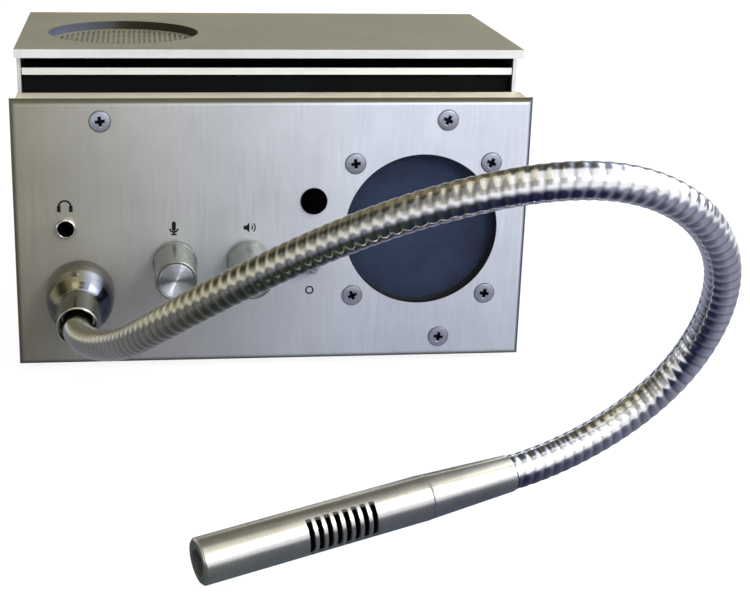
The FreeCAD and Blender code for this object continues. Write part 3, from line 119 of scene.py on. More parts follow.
class IntercomMetals(PropertyGroup):
    """Colours of the sheet metal; the panel's left colour is painted shade and its right colour
    painted light.
    """

    # Painted shade at the panel's left edge and painted light at its right edge; the panel's
    # colour runs between them.
    panel_left_shaded: FloatVectorProperty(
        name="Panel left", description="Colour of the front panel at its left edge",
        default=(0.30, 0.28, 0.21), **COLOUR,
    )
    panel_right_lit: FloatVectorProperty(
        name="Panel right", description="Colour of the front panel at its right edge",
        default=(0.71, 0.74, 0.83), **COLOUR,
    )
    case_colour: FloatVectorProperty(
        name="Case", description="Colour of the box and its top plate",
        default=(0.345, 0.325, 0.240), **COLOUR,
    )


class IntercomNeck(PropertyGroup):
    """Sizes of the gooseneck's spiral."""

    radius: FloatProperty(
        name="Radius", description="Outer radius over the ridges", default=0.00545, **LENGTH
    )
    pitch: FloatProperty(
        name="Pitch", description="Length from one ridge to the next", default=0.0037, **LENGTH
    )
    groove: FloatProperty(
        name="Groove", description="Depth of the groove between two ridges",
        default=0.00017, **LENGTH,
    )
    smooth_foot: FloatProperty(
        name="Smooth foot", description="Length over which the ridges rise to their full height",
        default=0.07, **LENGTH,
    )
    around: IntProperty(
        name="Around", description="Faces around the gooseneck", default=36, min=12
    )
    rows: IntProperty(
        name="Rows", description="Rows of faces from one ridge to the next", default=10, min=4
    )


class IntercomMarks(PropertyGroup):
    """Colour and size of the marks beside the controls."""

    mark_colour: FloatVectorProperty(
        name="Marks", description="Colour of the plain marks on the panel",
        default=(0.006, 0.006, 0.008), **COLOUR,
    )
    mark_height: FloatProperty(
        name="Mark height", description="Height of a mark on the panel", default=0.0054, **LENGTH
    )


class IntercomStage(PropertyGroup):
    """Light around the object."""

    window_power: FloatProperty(
        name="Window", description="Power of the wide cool light at the right",
        default=16.0, **POWER,
    )
    softbox_power: FloatProperty(
        name="Softbox", description="Power of the small light at the front right",
        default=3.0, **POWER,
    )
    ceiling_power: FloatProperty(
        name="Ceiling", description="Power of the long warm light overhead", default=1.5, **POWER
    )
    world_strength: FloatProperty(
        name="World", description="Strength of the even light from all round", default=0.8, min=0
    )


# ---- materials
def new_finish(name):
    """A material and its node tree."""
    material = bpy.data.materials.new(name)
    material.use_nodes = True
    return material, material.node_tree


def fill(tree, node, inputs):
    """Sets inputs of a node, and links those that are given a socket."""
    for key, wanted in inputs.items():
        if isinstance(wanted, bpy.types.NodeSocket):
            tree.links.new(wanted, node.inputs[key])
        else:
            node.inputs[key].default_value = wanted


def add(tree, kind, inputs=None, **settings):
    """A new node with its settings made and its inputs filled."""
    made = tree.nodes.new(kind)
    for key, setting in settings.items():
        setattr(made, key, setting)
    fill(tree, made, inputs or {})
    return made


def finished(material, inputs):
    """A material whose shader's inputs are filled."""
    fill(material.node_tree, material.node_tree.nodes["Principled BSDF"], inputs)
    return material


def mixed(tree, factor, one, other, mode="MIX"):
    """A colour between two."""
    inputs = {
        index: wanted if isinstance(wanted, bpy.types.NodeSocket) else (*wanted[:3], 1)
        for index, wanted in ((6, one), (7, other))
    }
    inputs[0] = factor
    return add(tree, "ShaderNodeMix", inputs, data_type="RGBA", blend_type=mode).outputs[2]


def place_in(tree, scale=(1, 1, 1)):
    """Positions in the object's own frame, stretched by scale."""
    coords = add(tree, "ShaderNodeTexCoord").outputs["Object"]
    return add(tree, "ShaderNodeMapping", {"Vector": coords, "Scale": scale}).outputs["Vector"]


def parts(tree, vector):
    """The X, Y and Z of a vector."""
    return add(tree, "ShaderNodeSeparateXYZ", {"Vector": vector}).outputs


def noise(tree, vector, scale, detail, roughness=0.5):
    """Cloudy noise, most of it between 0.3 and 0.7."""
    inputs = {"Vector": vector, "Scale": scale, "Detail": detail, "Roughness": roughness}
    return add(tree, "ShaderNodeTexNoise", inputs).outputs["Fac"]


def ring_noise(tree, along, scale):
    """Noise that changes along one line only."""
    inputs = {"W": along, "Scale": scale, "Detail": 2.0}
    return add(tree, "ShaderNodeTexNoise", inputs, noise_dimensions="1D").outputs["Fac"]


def ramp(tree, factor, low, high, start=0.0, end=1.0):
    """low to high as a number goes from start to end, and held there."""
    inputs = {"Value": factor, "From Min": start, "From Max": end, "To Min": low, "To Max": high}
    return add(tree, "ShaderNodeMapRange", inputs).outputs["Result"]


def rise(tree, factor, start, end):
    """0 to 1 as a number goes from start to end."""
    return ramp(tree, factor, 0.0, 1.0, start, end)


def graded(tree, cloud, low, high):
    """low to high over the usual span of a noise."""
    return ramp(tree, cloud, low, high, 0.3, 0.7)


def number(tree, operation, one, other):
    """One step of arithmetic between two numbers."""
    return add(tree, "ShaderNodeMath", {0: one, 1: other}, operation=operation).outputs[0]


def measure(tree, operation, one, other=(0, 0, 0)):
    """A number worked out from two vectors."""
    inputs = {0: one, 1: other}
    return add(tree, "ShaderNodeVectorMath", inputs, operation=operation).outputs["Value"]


def bumps(tree, height, depth, strength):
    """Small relief from a height map, depth metres deep."""
    inputs = {"Height": height, "Distance": depth, "Strength": strength}
    return add(tree, "ShaderNodeBump", inputs).outputs["Normal"]


def tinted(tree, colour, tone):
    """A colour made darker or lighter by a number."""
    inputs = {"Red": tone, "Green": tone, "Blue": tone}
    gray = add(tree, "ShaderNodeCombineColor", inputs).outputs["Color"]
    return mixed(tree, 1.0, colour, gray, "MULTIPLY")


def by_facing(tree, base, faces):
    """A colour, with painted highlights and painted shade where the surface turns another way:
    along an axis, from a start until it is full."""
    for axis, start, full, colour in faces:
        normal = add(tree, "ShaderNodeTexCoord").outputs["Normal"]
        turn = rise(tree, parts(tree, normal)[axis], start, full)
        base = mixed(tree, turn, base, colour)
    return base


def brushed_metal(name, left, right, grain, metallic, faces=(), hole=None):
    """Sheet metal with fine brushing; its colour runs from painted shade at the left to painted
    light at the right, with painted shade towards the bottom. hole gives a round opening's axis
    and middle and the colours of the painted shade and painted reflection on its wall, left and
    right."""
    material, tree = new_finish(name)
    plain = place_in(tree)
    place = parts(tree, plain)
    # Painted light: the colour runs from the left colour to the right one, and painted shade
    # makes it darker towards the bottom.
    lit_drift = mixed(tree, rise(tree, place["X"], -0.1, 0.03), left, right)
    base = tinted(tree, lit_drift, ramp(tree, place["Z"], 0.82, 1.05, 0.0, 0.06))
    base = by_facing(tree, base, faces)
    if hole:
        # Painted shade and painted reflection on the round opening's wall.
        axis, middle, wall_shading_left, wall_shading_right = hole
        level = {letter: place[letter] for letter in "XYZ"}
        level[axis] = getattr(middle, axis.lower())
        flat = add(tree, "ShaderNodeCombineXYZ", level).outputs["Vector"]
        reach = measure(tree, "DISTANCE", flat, tuple(middle))
        across = rise(tree, place["X"], middle.x - OPENING_RADIUS, middle.x)
        wall_shading = mixed(tree, across, wall_shading_left, wall_shading_right)
        inside = ramp(tree, reach, 1.0, 0.0, OPENING_RADIUS, OPENING_RADIUS + 0.0002)
        base = mixed(tree, inside, base, wall_shading)
    lines = noise(tree, place_in(tree, grain), 1.0, 4.0, 0.65)
    patches = noise(tree, plain, 34.0, 4.0, 0.65)
    brushed = tinted(tree, base, ramp(tree, lines, 0.94, 1.05, 0.25, 0.75))
    inputs = {
        "Base Color": tinted(tree, brushed, graded(tree, patches, 0.93, 1.06)),
        "Roughness": graded(tree, lines, 0.34, 0.48),
        "Metallic": metallic,
        "Normal": bumps(tree, lines, 0.00003, 0.4),
    }
    return finished(material, inputs)


def turned_metal(name, colour, axis, metallic=0.9, roughness=0.28, relief=0.1, faces=()):
    """Lathe-turned metal with fine rings along an axis."""
    material, tree = new_finish(name)
    coords = add(tree, "ShaderNodeTexCoord").outputs["Object"]
    rings = ring_noise(tree, measure(tree, "DOT_PRODUCT", coords, tuple(axis)), 2600.0)
    patches = noise(tree, coords, 90.0, 2.0)
    base = tinted(tree, by_facing(tree, colour, faces), graded(tree, rings, 0.95, 1.05))
    inputs = {
        "Base Color": tinted(tree, base, graded(tree, patches, 0.95, 1.04)),
        "Roughness": graded(tree, patches, roughness - 0.02, roughness + 0.03),
        "Metallic": metallic,
        "Normal": bumps(tree, rings, 0.000006, relief),
    }
    return finished(material, inputs)


def spun_face(name, colour):
    """The bright face of a knob, spun in rings round its own middle."""
    material, tree = new_finish(name)
    coords = add(tree, "ShaderNodeTexCoord").outputs["Object"]
    rings = ring_noise(tree, measure(tree, "LENGTH", coords), 5200.0)
    tangent = add(tree, "ShaderNodeTangent", direction_type="RADIAL", axis="Z")
    inputs = {
        "Base Color": tinted(tree, colour, ramp(tree, rings, 0.85, 1.1)),
        "Metallic": 1.0,
        "Roughness": 0.3,
        "Anisotropic": 1.0,
        "Anisotropic Rotation": 0.25,
        "Tangent": tangent.outputs["Tangent"],
    }
    return finished(material, inputs)


def speckled(name, colour, roughness, scale, depth, metallic=0.0, spread=0.2, gloss=0.5):
    """A fine-grained surface, such as moulded plastic, rubber, foam or cast metal."""
    material, tree = new_finish(name)
    coords = place_in(tree)
    grain = noise(tree, coords, scale, 3.0, 0.6)
    wide = noise(tree, coords, scale / 14, 2.0)
    inputs = {
        "Base Color": tinted(tree, colour, graded(tree, wide, 1 - spread, 1 + spread)),
        "Roughness": graded(tree, grain, roughness - 0.08, roughness + 0.08),
        "Metallic": metallic,
        "Specular IOR Level": gloss,
        "Normal": bumps(tree, grain, depth, 0.7),
    }
    return finished(material, inputs)


def woven_cloth(name, colour, pitch):
    """Loudspeaker cloth: two sets of threads over a dark ground."""
    material, tree = new_finish(name)
    threads = []
    for direction in ("X", "Z"):
        scale = WAVE_LENGTH / pitch
        inputs = {"Vector": place_in(tree), "Scale": scale, "Distortion": 0.6, "Detail": 1.0}
        wave = add(tree, "ShaderNodeTexWave", inputs, bands_direction=direction)
        threads.append(wave.outputs["Fac"])
    weave = number(tree, "MAXIMUM", *threads)
    dark = tuple(channel * 0.6 for channel in colour)
    light = tuple(min(1, channel * 1.3) for channel in colour)
    cloth = mixed(tree, weave, dark, light)
    shade = graded(tree, noise(tree, place_in(tree), 90.0, 2.0), 0.8, 1.2)
    inputs = {
        "Base Color": tinted(tree, cloth, shade),
        "Roughness": 0.9,
        "Sheen Weight": 0.08,
        "Normal": bumps(tree, weave, 0.0001, 0.8),
    }
    return finished(material, inputs)


def ridged_metal(name, left, right):
    """The gooseneck's satin metal, with painted shade at the bottom of its grooves and a painted
    reflection running from tan at the left to pale at the right.
    """
    material, tree = new_finish(name)
    depth = add(tree, "ShaderNodeAttribute", attribute_name="groove").outputs["Fac"]
    coords = place_in(tree)
    # Painted reflection: tan at the left and pale at the right.
    metal = mixed(tree, rise(tree, parts(tree, coords)["X"], -0.035, 0.04), left, right)
    patches = noise(tree, coords, 120.0, 3.0, 0.6)
    fine = noise(tree, coords, 2400.0, 2.0, 0.6)
    worn_and_lit = tinted(tree, metal, graded(tree, patches, 0.9, 1.06))
    # Painted shade at the bottom of the grooves.
    groove_shade = tuple(channel * 0.3 for channel in left)
    inputs = {
        "Base Color": mixed(tree, ramp(tree, depth, 0.0, 0.45, 0.6, 1.0), worn_and_lit, groove_shade),
        "Roughness": graded(tree, fine, 0.15, 0.19),
        "Metallic": 1.0,
        "Normal": bumps(tree, patches, 0.00002, 0.3),
    }
    return finished(material, inputs)


def board_finish(name):
    """Green laminate with paler copper runs under the mask."""
    material, tree = new_finish(name)
    inputs = {
        "Vector": place_in(tree),
        "Color1": (0.03, 0.20, 0.08, 1),
        "Color2": (0.04, 0.24, 0.10, 1),
        "Mortar": (0.16, 0.40, 0.20, 1),
        "Scale": 60.0,
        "Mortar Size": 0.03,
    }
    runs = add(tree, "ShaderNodeTexBrick", inputs).outputs
    relief = bumps(tree, runs["Fac"], 0.00003, 0.5)
    inputs = {"Base Color": runs["Color"], "Roughness": 0.35, "Normal": relief}
    return finished(material, inputs)


def recessed_finish(name):
    """The zinc of a screw's head, with painted shade at the bottom of its cross."""
    material, tree = new_finish(name)
    coords = place_in(tree)
    grain = noise(tree, coords, 1500.0, 3.0, 0.6)
    # Painted shade: near black where the head sinks behind the panel's front face, in its cross.
    pit_shade = rise(tree, parts(tree, coords)["Y"], FRONT - 0.0005, FRONT)
    inputs = {
        "Base Color": mixed(tree, pit_shade, (0.40, 0.42, 0.50), (0.004, 0.005, 0.008)),
        "Roughness": graded(tree, grain, 0.26, 0.42),
        "Metallic": 0.75,
        "Normal": bumps(tree, grain, 0.00001, 0.5),
    }
    return finished(material, inputs)


# Painted highlights and painted shade on the metal's folded edges and turned sides.
CREAM_HIGHLIGHT = (0.80, 0.74, 0.57)
SILVER_HIGHLIGHT = (0.80, 0.82, 0.80)
OLIVE_SHADE = (0.09, 0.085, 0.05)
SHADE = (0.06, 0.075, 0.12)
# Painted shade: near black over the lid's top, under the top plate.
BLACK_SHADE = (0.003, 0.003, 0.003)
# Where a surface that turns another way takes a painted highlight or painted shade: its axis,
# where the colour starts and where it is full, and the colour.
# Painted shade where the plate faces left, and a painted highlight on its front edges.
PLATE_PAINTED_FACES = (("X", -0.2, -0.9, OLIVE_SHADE), ("Y", -0.85, -0.98, SILVER_HIGHLIGHT))
# A painted highlight on the lid's front edge.
LID_PAINTED_FACES = (("Y", -0.6, -0.9, (1.0, 1.0, 0.96)),)
# Painted reflections on the microphone: tan where it faces up, pale blue where it faces down.
MIC_PAINTED_FACES = (("Z", 0.35, 0.8, (0.56, 0.53, 0.43)), ("Z", -0.25, -0.7, (0.80, 0.88, 0.95)))
# Painted light on the socket: a cool painted highlight just right of its top, painted shade on
# its right and left sides and where it faces square to its axis, and a painted highlight where it
# faces the front.
SOCKET_PAINTED_FACES = (
    ("X", 0.08, 0.2, (0.62, 0.66, 0.78)),
    ("X", 0.45, 0.75, SHADE),
    ("X", -0.35, -0.85, OLIVE_SHADE),
    ("Y", -0.16, -0.04, (0.13, 0.12, 0.09)),
    ("Y", -0.9, -0.98, SILVER_HIGHLIGHT),
)
# Round openings with painted shade and painted reflection on their walls: axis, middle, and the
# colours of the wall at the left and the right.
PANEL_OPENING_PAINTED = ("Y", SPEAKER, (0.02, 0.02, 0.02), (0.004, 0.004, 0.006))
PLATE_OPENING_PAINTED = ("Z", VENT, (0.16, 0.17, 0.25), (0.03, 0.03, 0.015))


def panel_finish(name):
    """The pan's metal, with painted shade and a painted highlight on its flanges and painted
    shade in its round opening.
    """
    metals = bpy.context.scene.intercom_metals
    left, right = metals.panel_left_shaded, metals.panel_right_lit
    # Painted shade on the bends and the right flange, a painted highlight on the top flange, and
    # the side flanges in the left colour.
    faces = (
        ("Z", 0.12, 0.5, OLIVE_SHADE),
        ("Z", 0.96, 0.99, CREAM_HIGHLIGHT),
        ("X", -0.2, -0.7, OLIVE_SHADE),
        ("X", -0.85, -0.97, left),
        ("X", 0.25, 0.6, SHADE),
        ("X", 0.85, 0.97, left),
        ("Z", -0.2, -0.7, OLIVE_SHADE),
    )
    return brushed_metal(name, left, right, (1500, 1500, 60), 0.5, faces, PANEL_OPENING_PAINTED)


def case_finish(name, lit_paler, faces=(), hole=None):
    """The box's metal, a little paler at the right from painted light."""
    left = bpy.context.scene.intercom_metals.case_colour
    right = tuple(min(1, channel * lit_paler) for channel in left)
    return brushed_metal(name, left, right, (1400, 50, 900), 0.55, faces, hole)


def ink_finish(name):
    """Matt ink of the marks on the panel."""
    colour = tuple(bpy.context.scene.intercom_marks.mark_colour)
    return speckled(name, colour, 0.7, 1800, 0.000004, 0.0, 0.2, 0.2)


# How each finish is made: its maker and the maker's values. A fine-grained one has its
# colour, roughness, and scale and depth of the grain, and where they aren't the usual
# ones, how metallic it is, the spread of its tone and its gloss.
FINISH_MAKERS = {
    "panel_brushed": (panel_finish,),
    "case_brushed": (case_finish, 1.15),
    "plate_brushed": (case_finish, 1.04, PLATE_PAINTED_FACES, PLATE_OPENING_PAINTED),
    # The lid: painted shade over its top and a painted highlight on its front edge.
    "lid_lined": (brushed_metal, BLACK_SHADE, BLACK_SHADE, (60, 1500, 1500), 0.97, LID_PAINTED_FACES),
    "screen_woven": (woven_cloth, (0.26, 0.25, 0.20), 0.0008),
    # Painted shade: the inner frame is near black for the shaded recess behind the panel.
    "recess_dark": (speckled, (0.003, 0.005, 0.004), 0.7, 900, 0.00001, 0.0, 0.2, 0.15),
    "screw_dark": (speckled, (0.16, 0.18, 0.23), 0.34, 1500, 0.00001, 0.7),
    "screw_recessed": (recessed_finish,),
    "zinc_plate": (speckled, (0.55, 0.56, 0.56), 0.32, 1800, 0.00001, 0.95, 0.1),
    "nickel_bright": (speckled, (0.78, 0.77, 0.74), 0.16, 900, 0.000004, 1.0, 0.06),
    "shaft_turned": (turned_metal, (0.6, 0.6, 0.6), (0, 1, 0)),
    "knob_turned": (turned_metal, (0.31, 0.32, 0.28), (0, 0, 1), 0.97, 0.28, 0.04),
    "knob_spun": (spun_face, (0.80, 0.81, 0.88)),
    "socket_polished": (
        turned_metal, (0.54, 0.52, 0.38), (0, 1, 0), 1.0, 0.17, 0.05, SOCKET_PAINTED_FACES
    ),
    "neck_satin": (ridged_metal, (0.42, 0.40, 0.30), (0.88, 0.89, 0.94)),
    "mic_satin": (turned_metal, (0.62, 0.62, 0.61), MIC_DIRECTION, 0.9, 0.24, 0.05, MIC_PAINTED_FACES),
    "rubber_black": (speckled, (0.02, 0.02, 0.02), 0.75, 1200, 0.00005),
    "plastic_black": (speckled, (0.012, 0.012, 0.014), 0.4, 1600, 0.00001),
    "lens_black": (speckled, (0.001, 0.001, 0.001), 0.8, 400, 0.000002, 0.0, 0.2, 0.0),
    "foam_black": (speckled, (0.010, 0.010, 0.013), 0.95, 2600, 0.0004),
    "cloth_blue": (woven_cloth, (0.015, 0.025, 0.063), 0.0011),
    "cone_black": (speckled, (0.03, 0.03, 0.035), 0.85, 1000, 0.0001),
    "ferrite": (speckled, (0.06, 0.06, 0.065), 0.6, 700, 0.00008, 0.2),
    "brass_plain": (speckled, (0.62, 0.46, 0.20), 0.3, 1500, 0.00001, 0.95, 0.1),
    "board_green": (board_finish,),
    "can_sleeve": (speckled, (0.02, 0.03, 0.08), 0.35, 500, 0.00001),
    "mark_ink": (ink_finish,),
}
FINISHES = {}


def finish(name):
    """The named finish, made the first time that it is wanted."""
    if name not in FINISHES:
        maker, *values = FINISH_MAKERS[name]
        FINISHES[name] = maker(name, *values)
    return FINISHES[name]


def dress(piece, name):
    """Gives every face of a piece one finish."""
    material = finish(name)
    slots = piece.data.materials
    if not slots:
        slots.append(material)
    for index in range(len(slots)):
        slots[index] = material


def dress_nodes(**finishes):
    """Gives solids of the frame their finishes: finish="node node"."""
    for name, nodes in finishes.items():
        for node in nodes.split():
            dress(NODES[node], name)


# ---- shapes
def axes_of(direction):
    """Two directions square to a third, in right-handed order."""
    w = direction.normalized()
    u = Vector((1, 0, 0)) if abs(w.x) < 0.9 else Vector((0, 0, 1))
    u = (u - w * u.dot(w)).normalized()
    return u, w.cross(u), w


def softened(points, radius):
    """A profile with each inner corner rounded."""
    rounded = [points[0]]
    for before, corner, after in zip(points, points[1:], points[2:]):
        reach = min(radius, (before - corner).length * 0.45, (after - corner).length * 0.45)
        start = corner + (before - corner).normalized() * reach
        end = corner + (after - corner).normalized() * reach
        for step in range(ROUNDING_STEPS + 1):
            t = step / ROUNDING_STEPS
            rounded.append(start.lerp(corner, t).lerp(corner.lerp(end, t), t))
    rounded.append(points[-1])
    return rounded


def place_object(name, data):
    """A new object in the scene."""
    piece = bpy.data.objects.new(name, data)
    bpy.context.scene.collection.objects.link(piece)
    return piece


def smooth_object(name, made):
    """A new smooth object from a bmesh, which it frees."""
    bmesh.ops.recalc_face_normals(made, faces=made.faces)
    mesh = bpy.data.meshes.new(name)
    made.to_mesh(mesh)
    made.free()
    mesh.shade_smooth()
    return place_object(name, mesh)


def object_from(name, mesh_maker, sharp=32.0):
    """A new object whose mesh is made by filling a bmesh; edges bent by more than sharp
    degrees stay crisp."""
    made = bmesh.new()
    mesh_maker(made)
    bmesh.ops.remove_doubles(made, verts=made.verts, dist=1e-7)
    piece = smooth_object(name, made)
    piece.data.set_sharp_from_angle(angle=math.radians(sharp))
    return piece


def add_rings(made, rings):
    """Joins rings of points by faces; a ring of one point closes an end."""
    rows = [[made.verts.new(point) for point in ring] for ring in rings]
    for low, high in zip(rows, rows[1:]):
        count = max(len(low), len(high))
        for i in range(count):
            j = (i + 1) % count
            corners = (
                low[i % len(low)],
                low[j % len(low)],
                high[j % len(high)],
                high[i % len(high)],
            )
            unique = list(dict.fromkeys(corners))
            if len(unique) > 2:
                made.faces.new(unique)


def circle(middle, u, v, radius, segments):
    """Points round a middle, in the plane of two directions."""
    return [
        middle + u * (radius * math.cos(a)) + v * (radius * math.sin(a))
        for a in (math.tau * i / segments for i in range(segments))
    ]


def turned(name, profile, at, direction, segments=64, soft=0.0004):
    """A turned piece with softened corners; its profile of (radius, height) is in
    millimetres."""
    points = [Vector((radius * MM, height * MM)) for radius, height in profile]
    if soft:
        points = softened(points, soft)
    u, v, w = axes_of(direction)
    rings = [
        circle(at + w * height, u, v, radius, segments) if radius > 1e-6 else [at + w * height]
        for radius, height in points
    ]
    return object_from(name, lambda made: add_rings(made, rings))


def seat(piece, body, slot, finish_name, *replaced):
    """Finishes a new piece, fixes it to its body and hides what it stands for."""
    dress(piece, finish_name)
    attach(piece, body)
    if replaced:
        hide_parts(*replaced)


# ---- operators
class INTERCOM_OT_metalwork(Operator):
    """Brushes the panel, the box, the lid and the top plate, and screens the vent"""

    bl_idname = "intercom.metalwork"
    bl_label = "Metalwork"

    def execute(self, context):
        dress_nodes(
            panel_brushed="front_panel",
            plate_brushed="chassis_shell top_plate",
            case_brushed="rear_panel vent_grille",
            recess_dark="inner_frame",
            lid_lined="vent_lid",
            rubber_black="rubber_base cable_grommet",
            zinc_plate="panel_spacers socket_nut speaker_nuts speaker_frame talk_pot "
            "listen_pot pot_nuts switch_body switch_nut",
        )
        screen = turned("vent_screen", [(0, 0), (31, 0), (31, 0.2), (0, 0.2)], VENT, UP, 96, 0)
        seat(screen, "box", "case_metal", "screen_woven")
        return {"FINISHED"}


def screw_body(made, at, length, turn):
    """A countersunk screw: a dished head with a cross recess, and a plain shank."""
    u, v, w = axes_of(OUTWARD)
    u, v = u * math.cos(turn) + v * math.sin(turn), v * math.cos(turn) - u * math.sin(turn)
    radius, sink = SCREW_RADIUS, SCREW_SINK
    arm, half, depth = radius * 0.46, radius * 0.15, radius * 0.34

    def round_at(r, h):
        return circle(at + w * h, u, v, r, SCREW_SIDES)

    def cross_at(scale, h):
        """The recess's outline, at the same angles as the rim."""
        points = []
        for i in range(SCREW_SIDES):
            a = math.tau * i / SCREW_SIDES
            x, y = abs(math.cos(a)), abs(math.sin(a))
            big, small = max(x, y), min(x, y)
            reach = max(min(arm / big, half / max(small, 1e-6)), half * 1.25 / big)
            points.append(at + w * h + (u * math.cos(a) + v * math.sin(a)) * (reach * scale))
        return points

    rings = [
        [at - w * length],
        round_at(radius * 0.45, -length),
        round_at(radius * 0.5, -length + radius * 0.2),
        round_at(radius * 0.5, -sink),
        round_at(radius * 0.97, -sink * 0.12),
        round_at(radius, 0.0),
        round_at(radius * 0.95, radius * 0.05),
        round_at(radius * 0.78, radius * 0.09),
        cross_at(1.12, radius * 0.10),
        cross_at(1.0, radius * 0.05),
        cross_at(0.72, -depth),
        [at - w * depth],
    ]
    add_rings(made, rings)


def screw_set(name, middle, half_x, half_z, length):
    """Four screws round a middle as one piece, each turned its own way."""

    def make(made):
        for index, (i, j) in enumerate(((-1, -1), (-1, 1), (1, -1), (1, 1))):
            at = Vector((middle.x + i * half_x, FRONT - 0.0002, middle.z + j * half_z))
            screw_body(made, at, length, 0.4 + 1.3 * index)

    return object_from(name, make, 28.0)


class INTERCOM_OT_fasteners(Operator):
    """Makes the screws of the panel and the loudspeaker, with their cross recesses"""

    bl_idname = "intercom.fasteners"
    bl_label = "Fasteners"

    def execute(self, context):
        for node, middle, half_x, half_z, length in (
            ("panel_screws", PANEL, 0.0665, 0.04425, 0.0308),
            ("speaker_screws", SPEAKER, 0.02675, 0.02675, 0.0124),
        ):
            screws = screw_set(node + "_recessed", middle, half_x, half_z, length)
            seat(screws, "box", "screw_steel", "screw_recessed", node)
        dress_nodes(screw_dark="side_screws board_screws talk_set_screw listen_set_screw")
        return {"FINISHED"}


class INTERCOM_OT_loudspeaker(Operator):
    """Covers the loudspeaker with cloth behind its foam gasket"""

    bl_idname = "intercom.loudspeaker"
    bl_label = "Loudspeaker"

    def execute(self, context):
        dress_nodes(
            foam_black="speaker_gasket",
            cone_black="speaker_cone",
            ferrite="speaker_magnet",
            cloth_blue="speaker_mesh",
        )
        return {"FINISHED"}


class INTERCOM_OT_knobs(Operator):
    """Turns the two volume knobs with their bright spun faces"""

    bl_idname = "intercom.knobs"
    bl_label = "Knobs"

    def execute(self, context):
        skirt = [(0, 6.3), (6.6, 6.3), (6.6, 0.8), (8.5, 0.8), (8.5, 3.3), (8.15, 3.7)]
        crown = [(7.8, 24.6), (7.5, 25.0), (6.85, 25.0), (6.7, 24.5), (0, 24.4)]
        face = [(6.68, 24.42), (6.5, 24.95), (3.4, 24.7), (0.9, 24.45), (0, 24.5)]
        facing_out = Matrix.Rotation(math.pi / 2, 4, "X")
        for side, at in (("talk", TALK), ("listen", LISTEN)):
            knob = turned(f"{side}_knob_turned", skirt + crown, Vector(), UP)
            disc = turned(f"{side}_face_spun", face, Vector(), UP, soft=0.0001)
            for piece in (knob, disc):
                piece.matrix_world = Matrix.Translation(at) @ facing_out
            unit = f"{side}_knob_unit"
            seat(knob, unit, "knob_metal", "knob_turned", f"{side}_knob")
            seat(disc, unit, "knob_face", "knob_spun", f"{side}_knob_disc")
        dress_nodes(shaft_turned="talk_shaft listen_shaft")
        return {"FINISHED"}


class INTERCOM_OT_switch_lamp_jack(Operator):
    """Finishes the toggle switch, the lamp and the headset jack"""

    bl_idname = "intercom.switch_lamp_jack"
    bl_label = "Switch, lamp and jack"

    def execute(self, context):
        pivot = SWITCH + OUTWARD * 0.0032
        tilt = math.radians(12)
        towards = Vector((0, -math.cos(tilt), math.sin(tilt)))
        ball = [(0, -2.3), (1.6, -1.65), (2.3, 0), (1.65, 1.6), (1.25, 2.3)]
        arm = [(1.3, 4), (1.9, 10.4), (1.6, 11.6), (0, 12)]
        bat = turned("switch_bat", ball + arm, pivot, towards, 40, 0.0008)
        seat(bat, "lever", "bright_metal", "nickel_bright", "switch_lever")
        rim = [(3.1, 1.9), (3.2, 2.1), (3.5, 2.05), (3.95, 1.5), (3.95, 0)]
        ring = turned("jack_ring", rim, JACK, OUTWARD, 48, 0.0003)
        seat(ring, "box", "bright_metal", "nickel_bright", "jack_nut")
        dome = [(0, 2.6), (1.9, 2.3), (3.35, 1.5), (3.4, 0)]
        lens = turned("lamp_dome", dome, LAMP, OUTWARD, 48, 0.0012)
        seat(lens, "box", "dark_lens", "lens_black", "lamp_lens")
        dress_nodes(plastic_black="lamp_led", lens_black="lamp_bezel headset_jack")
        return {"FINISHED"}


# ---- marks
def flat_shape(made, outline):
    """A thin plate standing on the panel, from its outline in x and z."""
    low = [made.verts.new((x, FRONT, z)) for x, z in outline]
    high = [made.verts.new((x, FRONT - MARK_THICKNESS, z)) for x, z in outline]
    made.faces.new(high)
    for i in range(len(outline)):
        j = (i + 1) % len(outline)
        made.faces.new((low[i], low[j], high[j], high[i]))


def bar(made, x0, z0, x1, z1, wide):
    """A straight stroke between two points."""
    along = Vector((x1 - x0, z1 - z0)).normalized() * wide / 2
    corners = [
        (x0 - along.y, z0 + along.x),
        (x0 + along.y, z0 - along.x),
        (x1 + along.y, z1 - along.x),
        (x1 - along.y, z1 + along.x),
    ]
    flat_shape(made, corners)


def arc(made, x, z, radius, wide, start, end, steps=24):
    """A curved stroke round a middle, with angles in degrees."""
    for step in range(steps):
        a = math.radians(start + (end - start) * step / steps)
        b = math.radians(start + (end - start) * (step + 1) / steps)
        inner, outer = radius - wide / 2, radius + wide / 2
        corners = [
            (x + reach * math.cos(angle), z + reach * math.sin(angle))
            for reach, angle in ((inner, a), (outer, a), (outer, b), (inner, b))
        ]
        flat_shape(made, corners)


def headphones_mark(made, x, z, tall):
    """A headband with its two ear pads."""
    arc(made, x, z - tall * 0.05, tall * 0.42, tall * 0.13, 0, 180)
    for side in (-1, 1):
        ear = x + side * tall * 0.42
        bar(made, ear, z - tall * 0.45, ear, z, tall * 0.26)


def microphone_mark(made, x, z, tall):
    """A capsule in its bracket, on a stand."""
    wide = tall * 0.12
    bar(made, x, z - tall * 0.08, x, z + tall * 0.34, tall * 0.28)
    arc(made, x, z + tall * 0.34, tall * 0.07, tall * 0.14, 0, 180)
    arc(made, x, z - tall * 0.08, tall * 0.07, tall * 0.14, 180, 360)
    arc(made, x, z, tall * 0.3, wide, 190, 350)
    bar(made, x, z - tall * 0.3, x, z - tall * 0.48, wide)
    bar(made, x - tall * 0.2, z - tall * 0.48, x + tall * 0.2, z - tall * 0.48, wide)


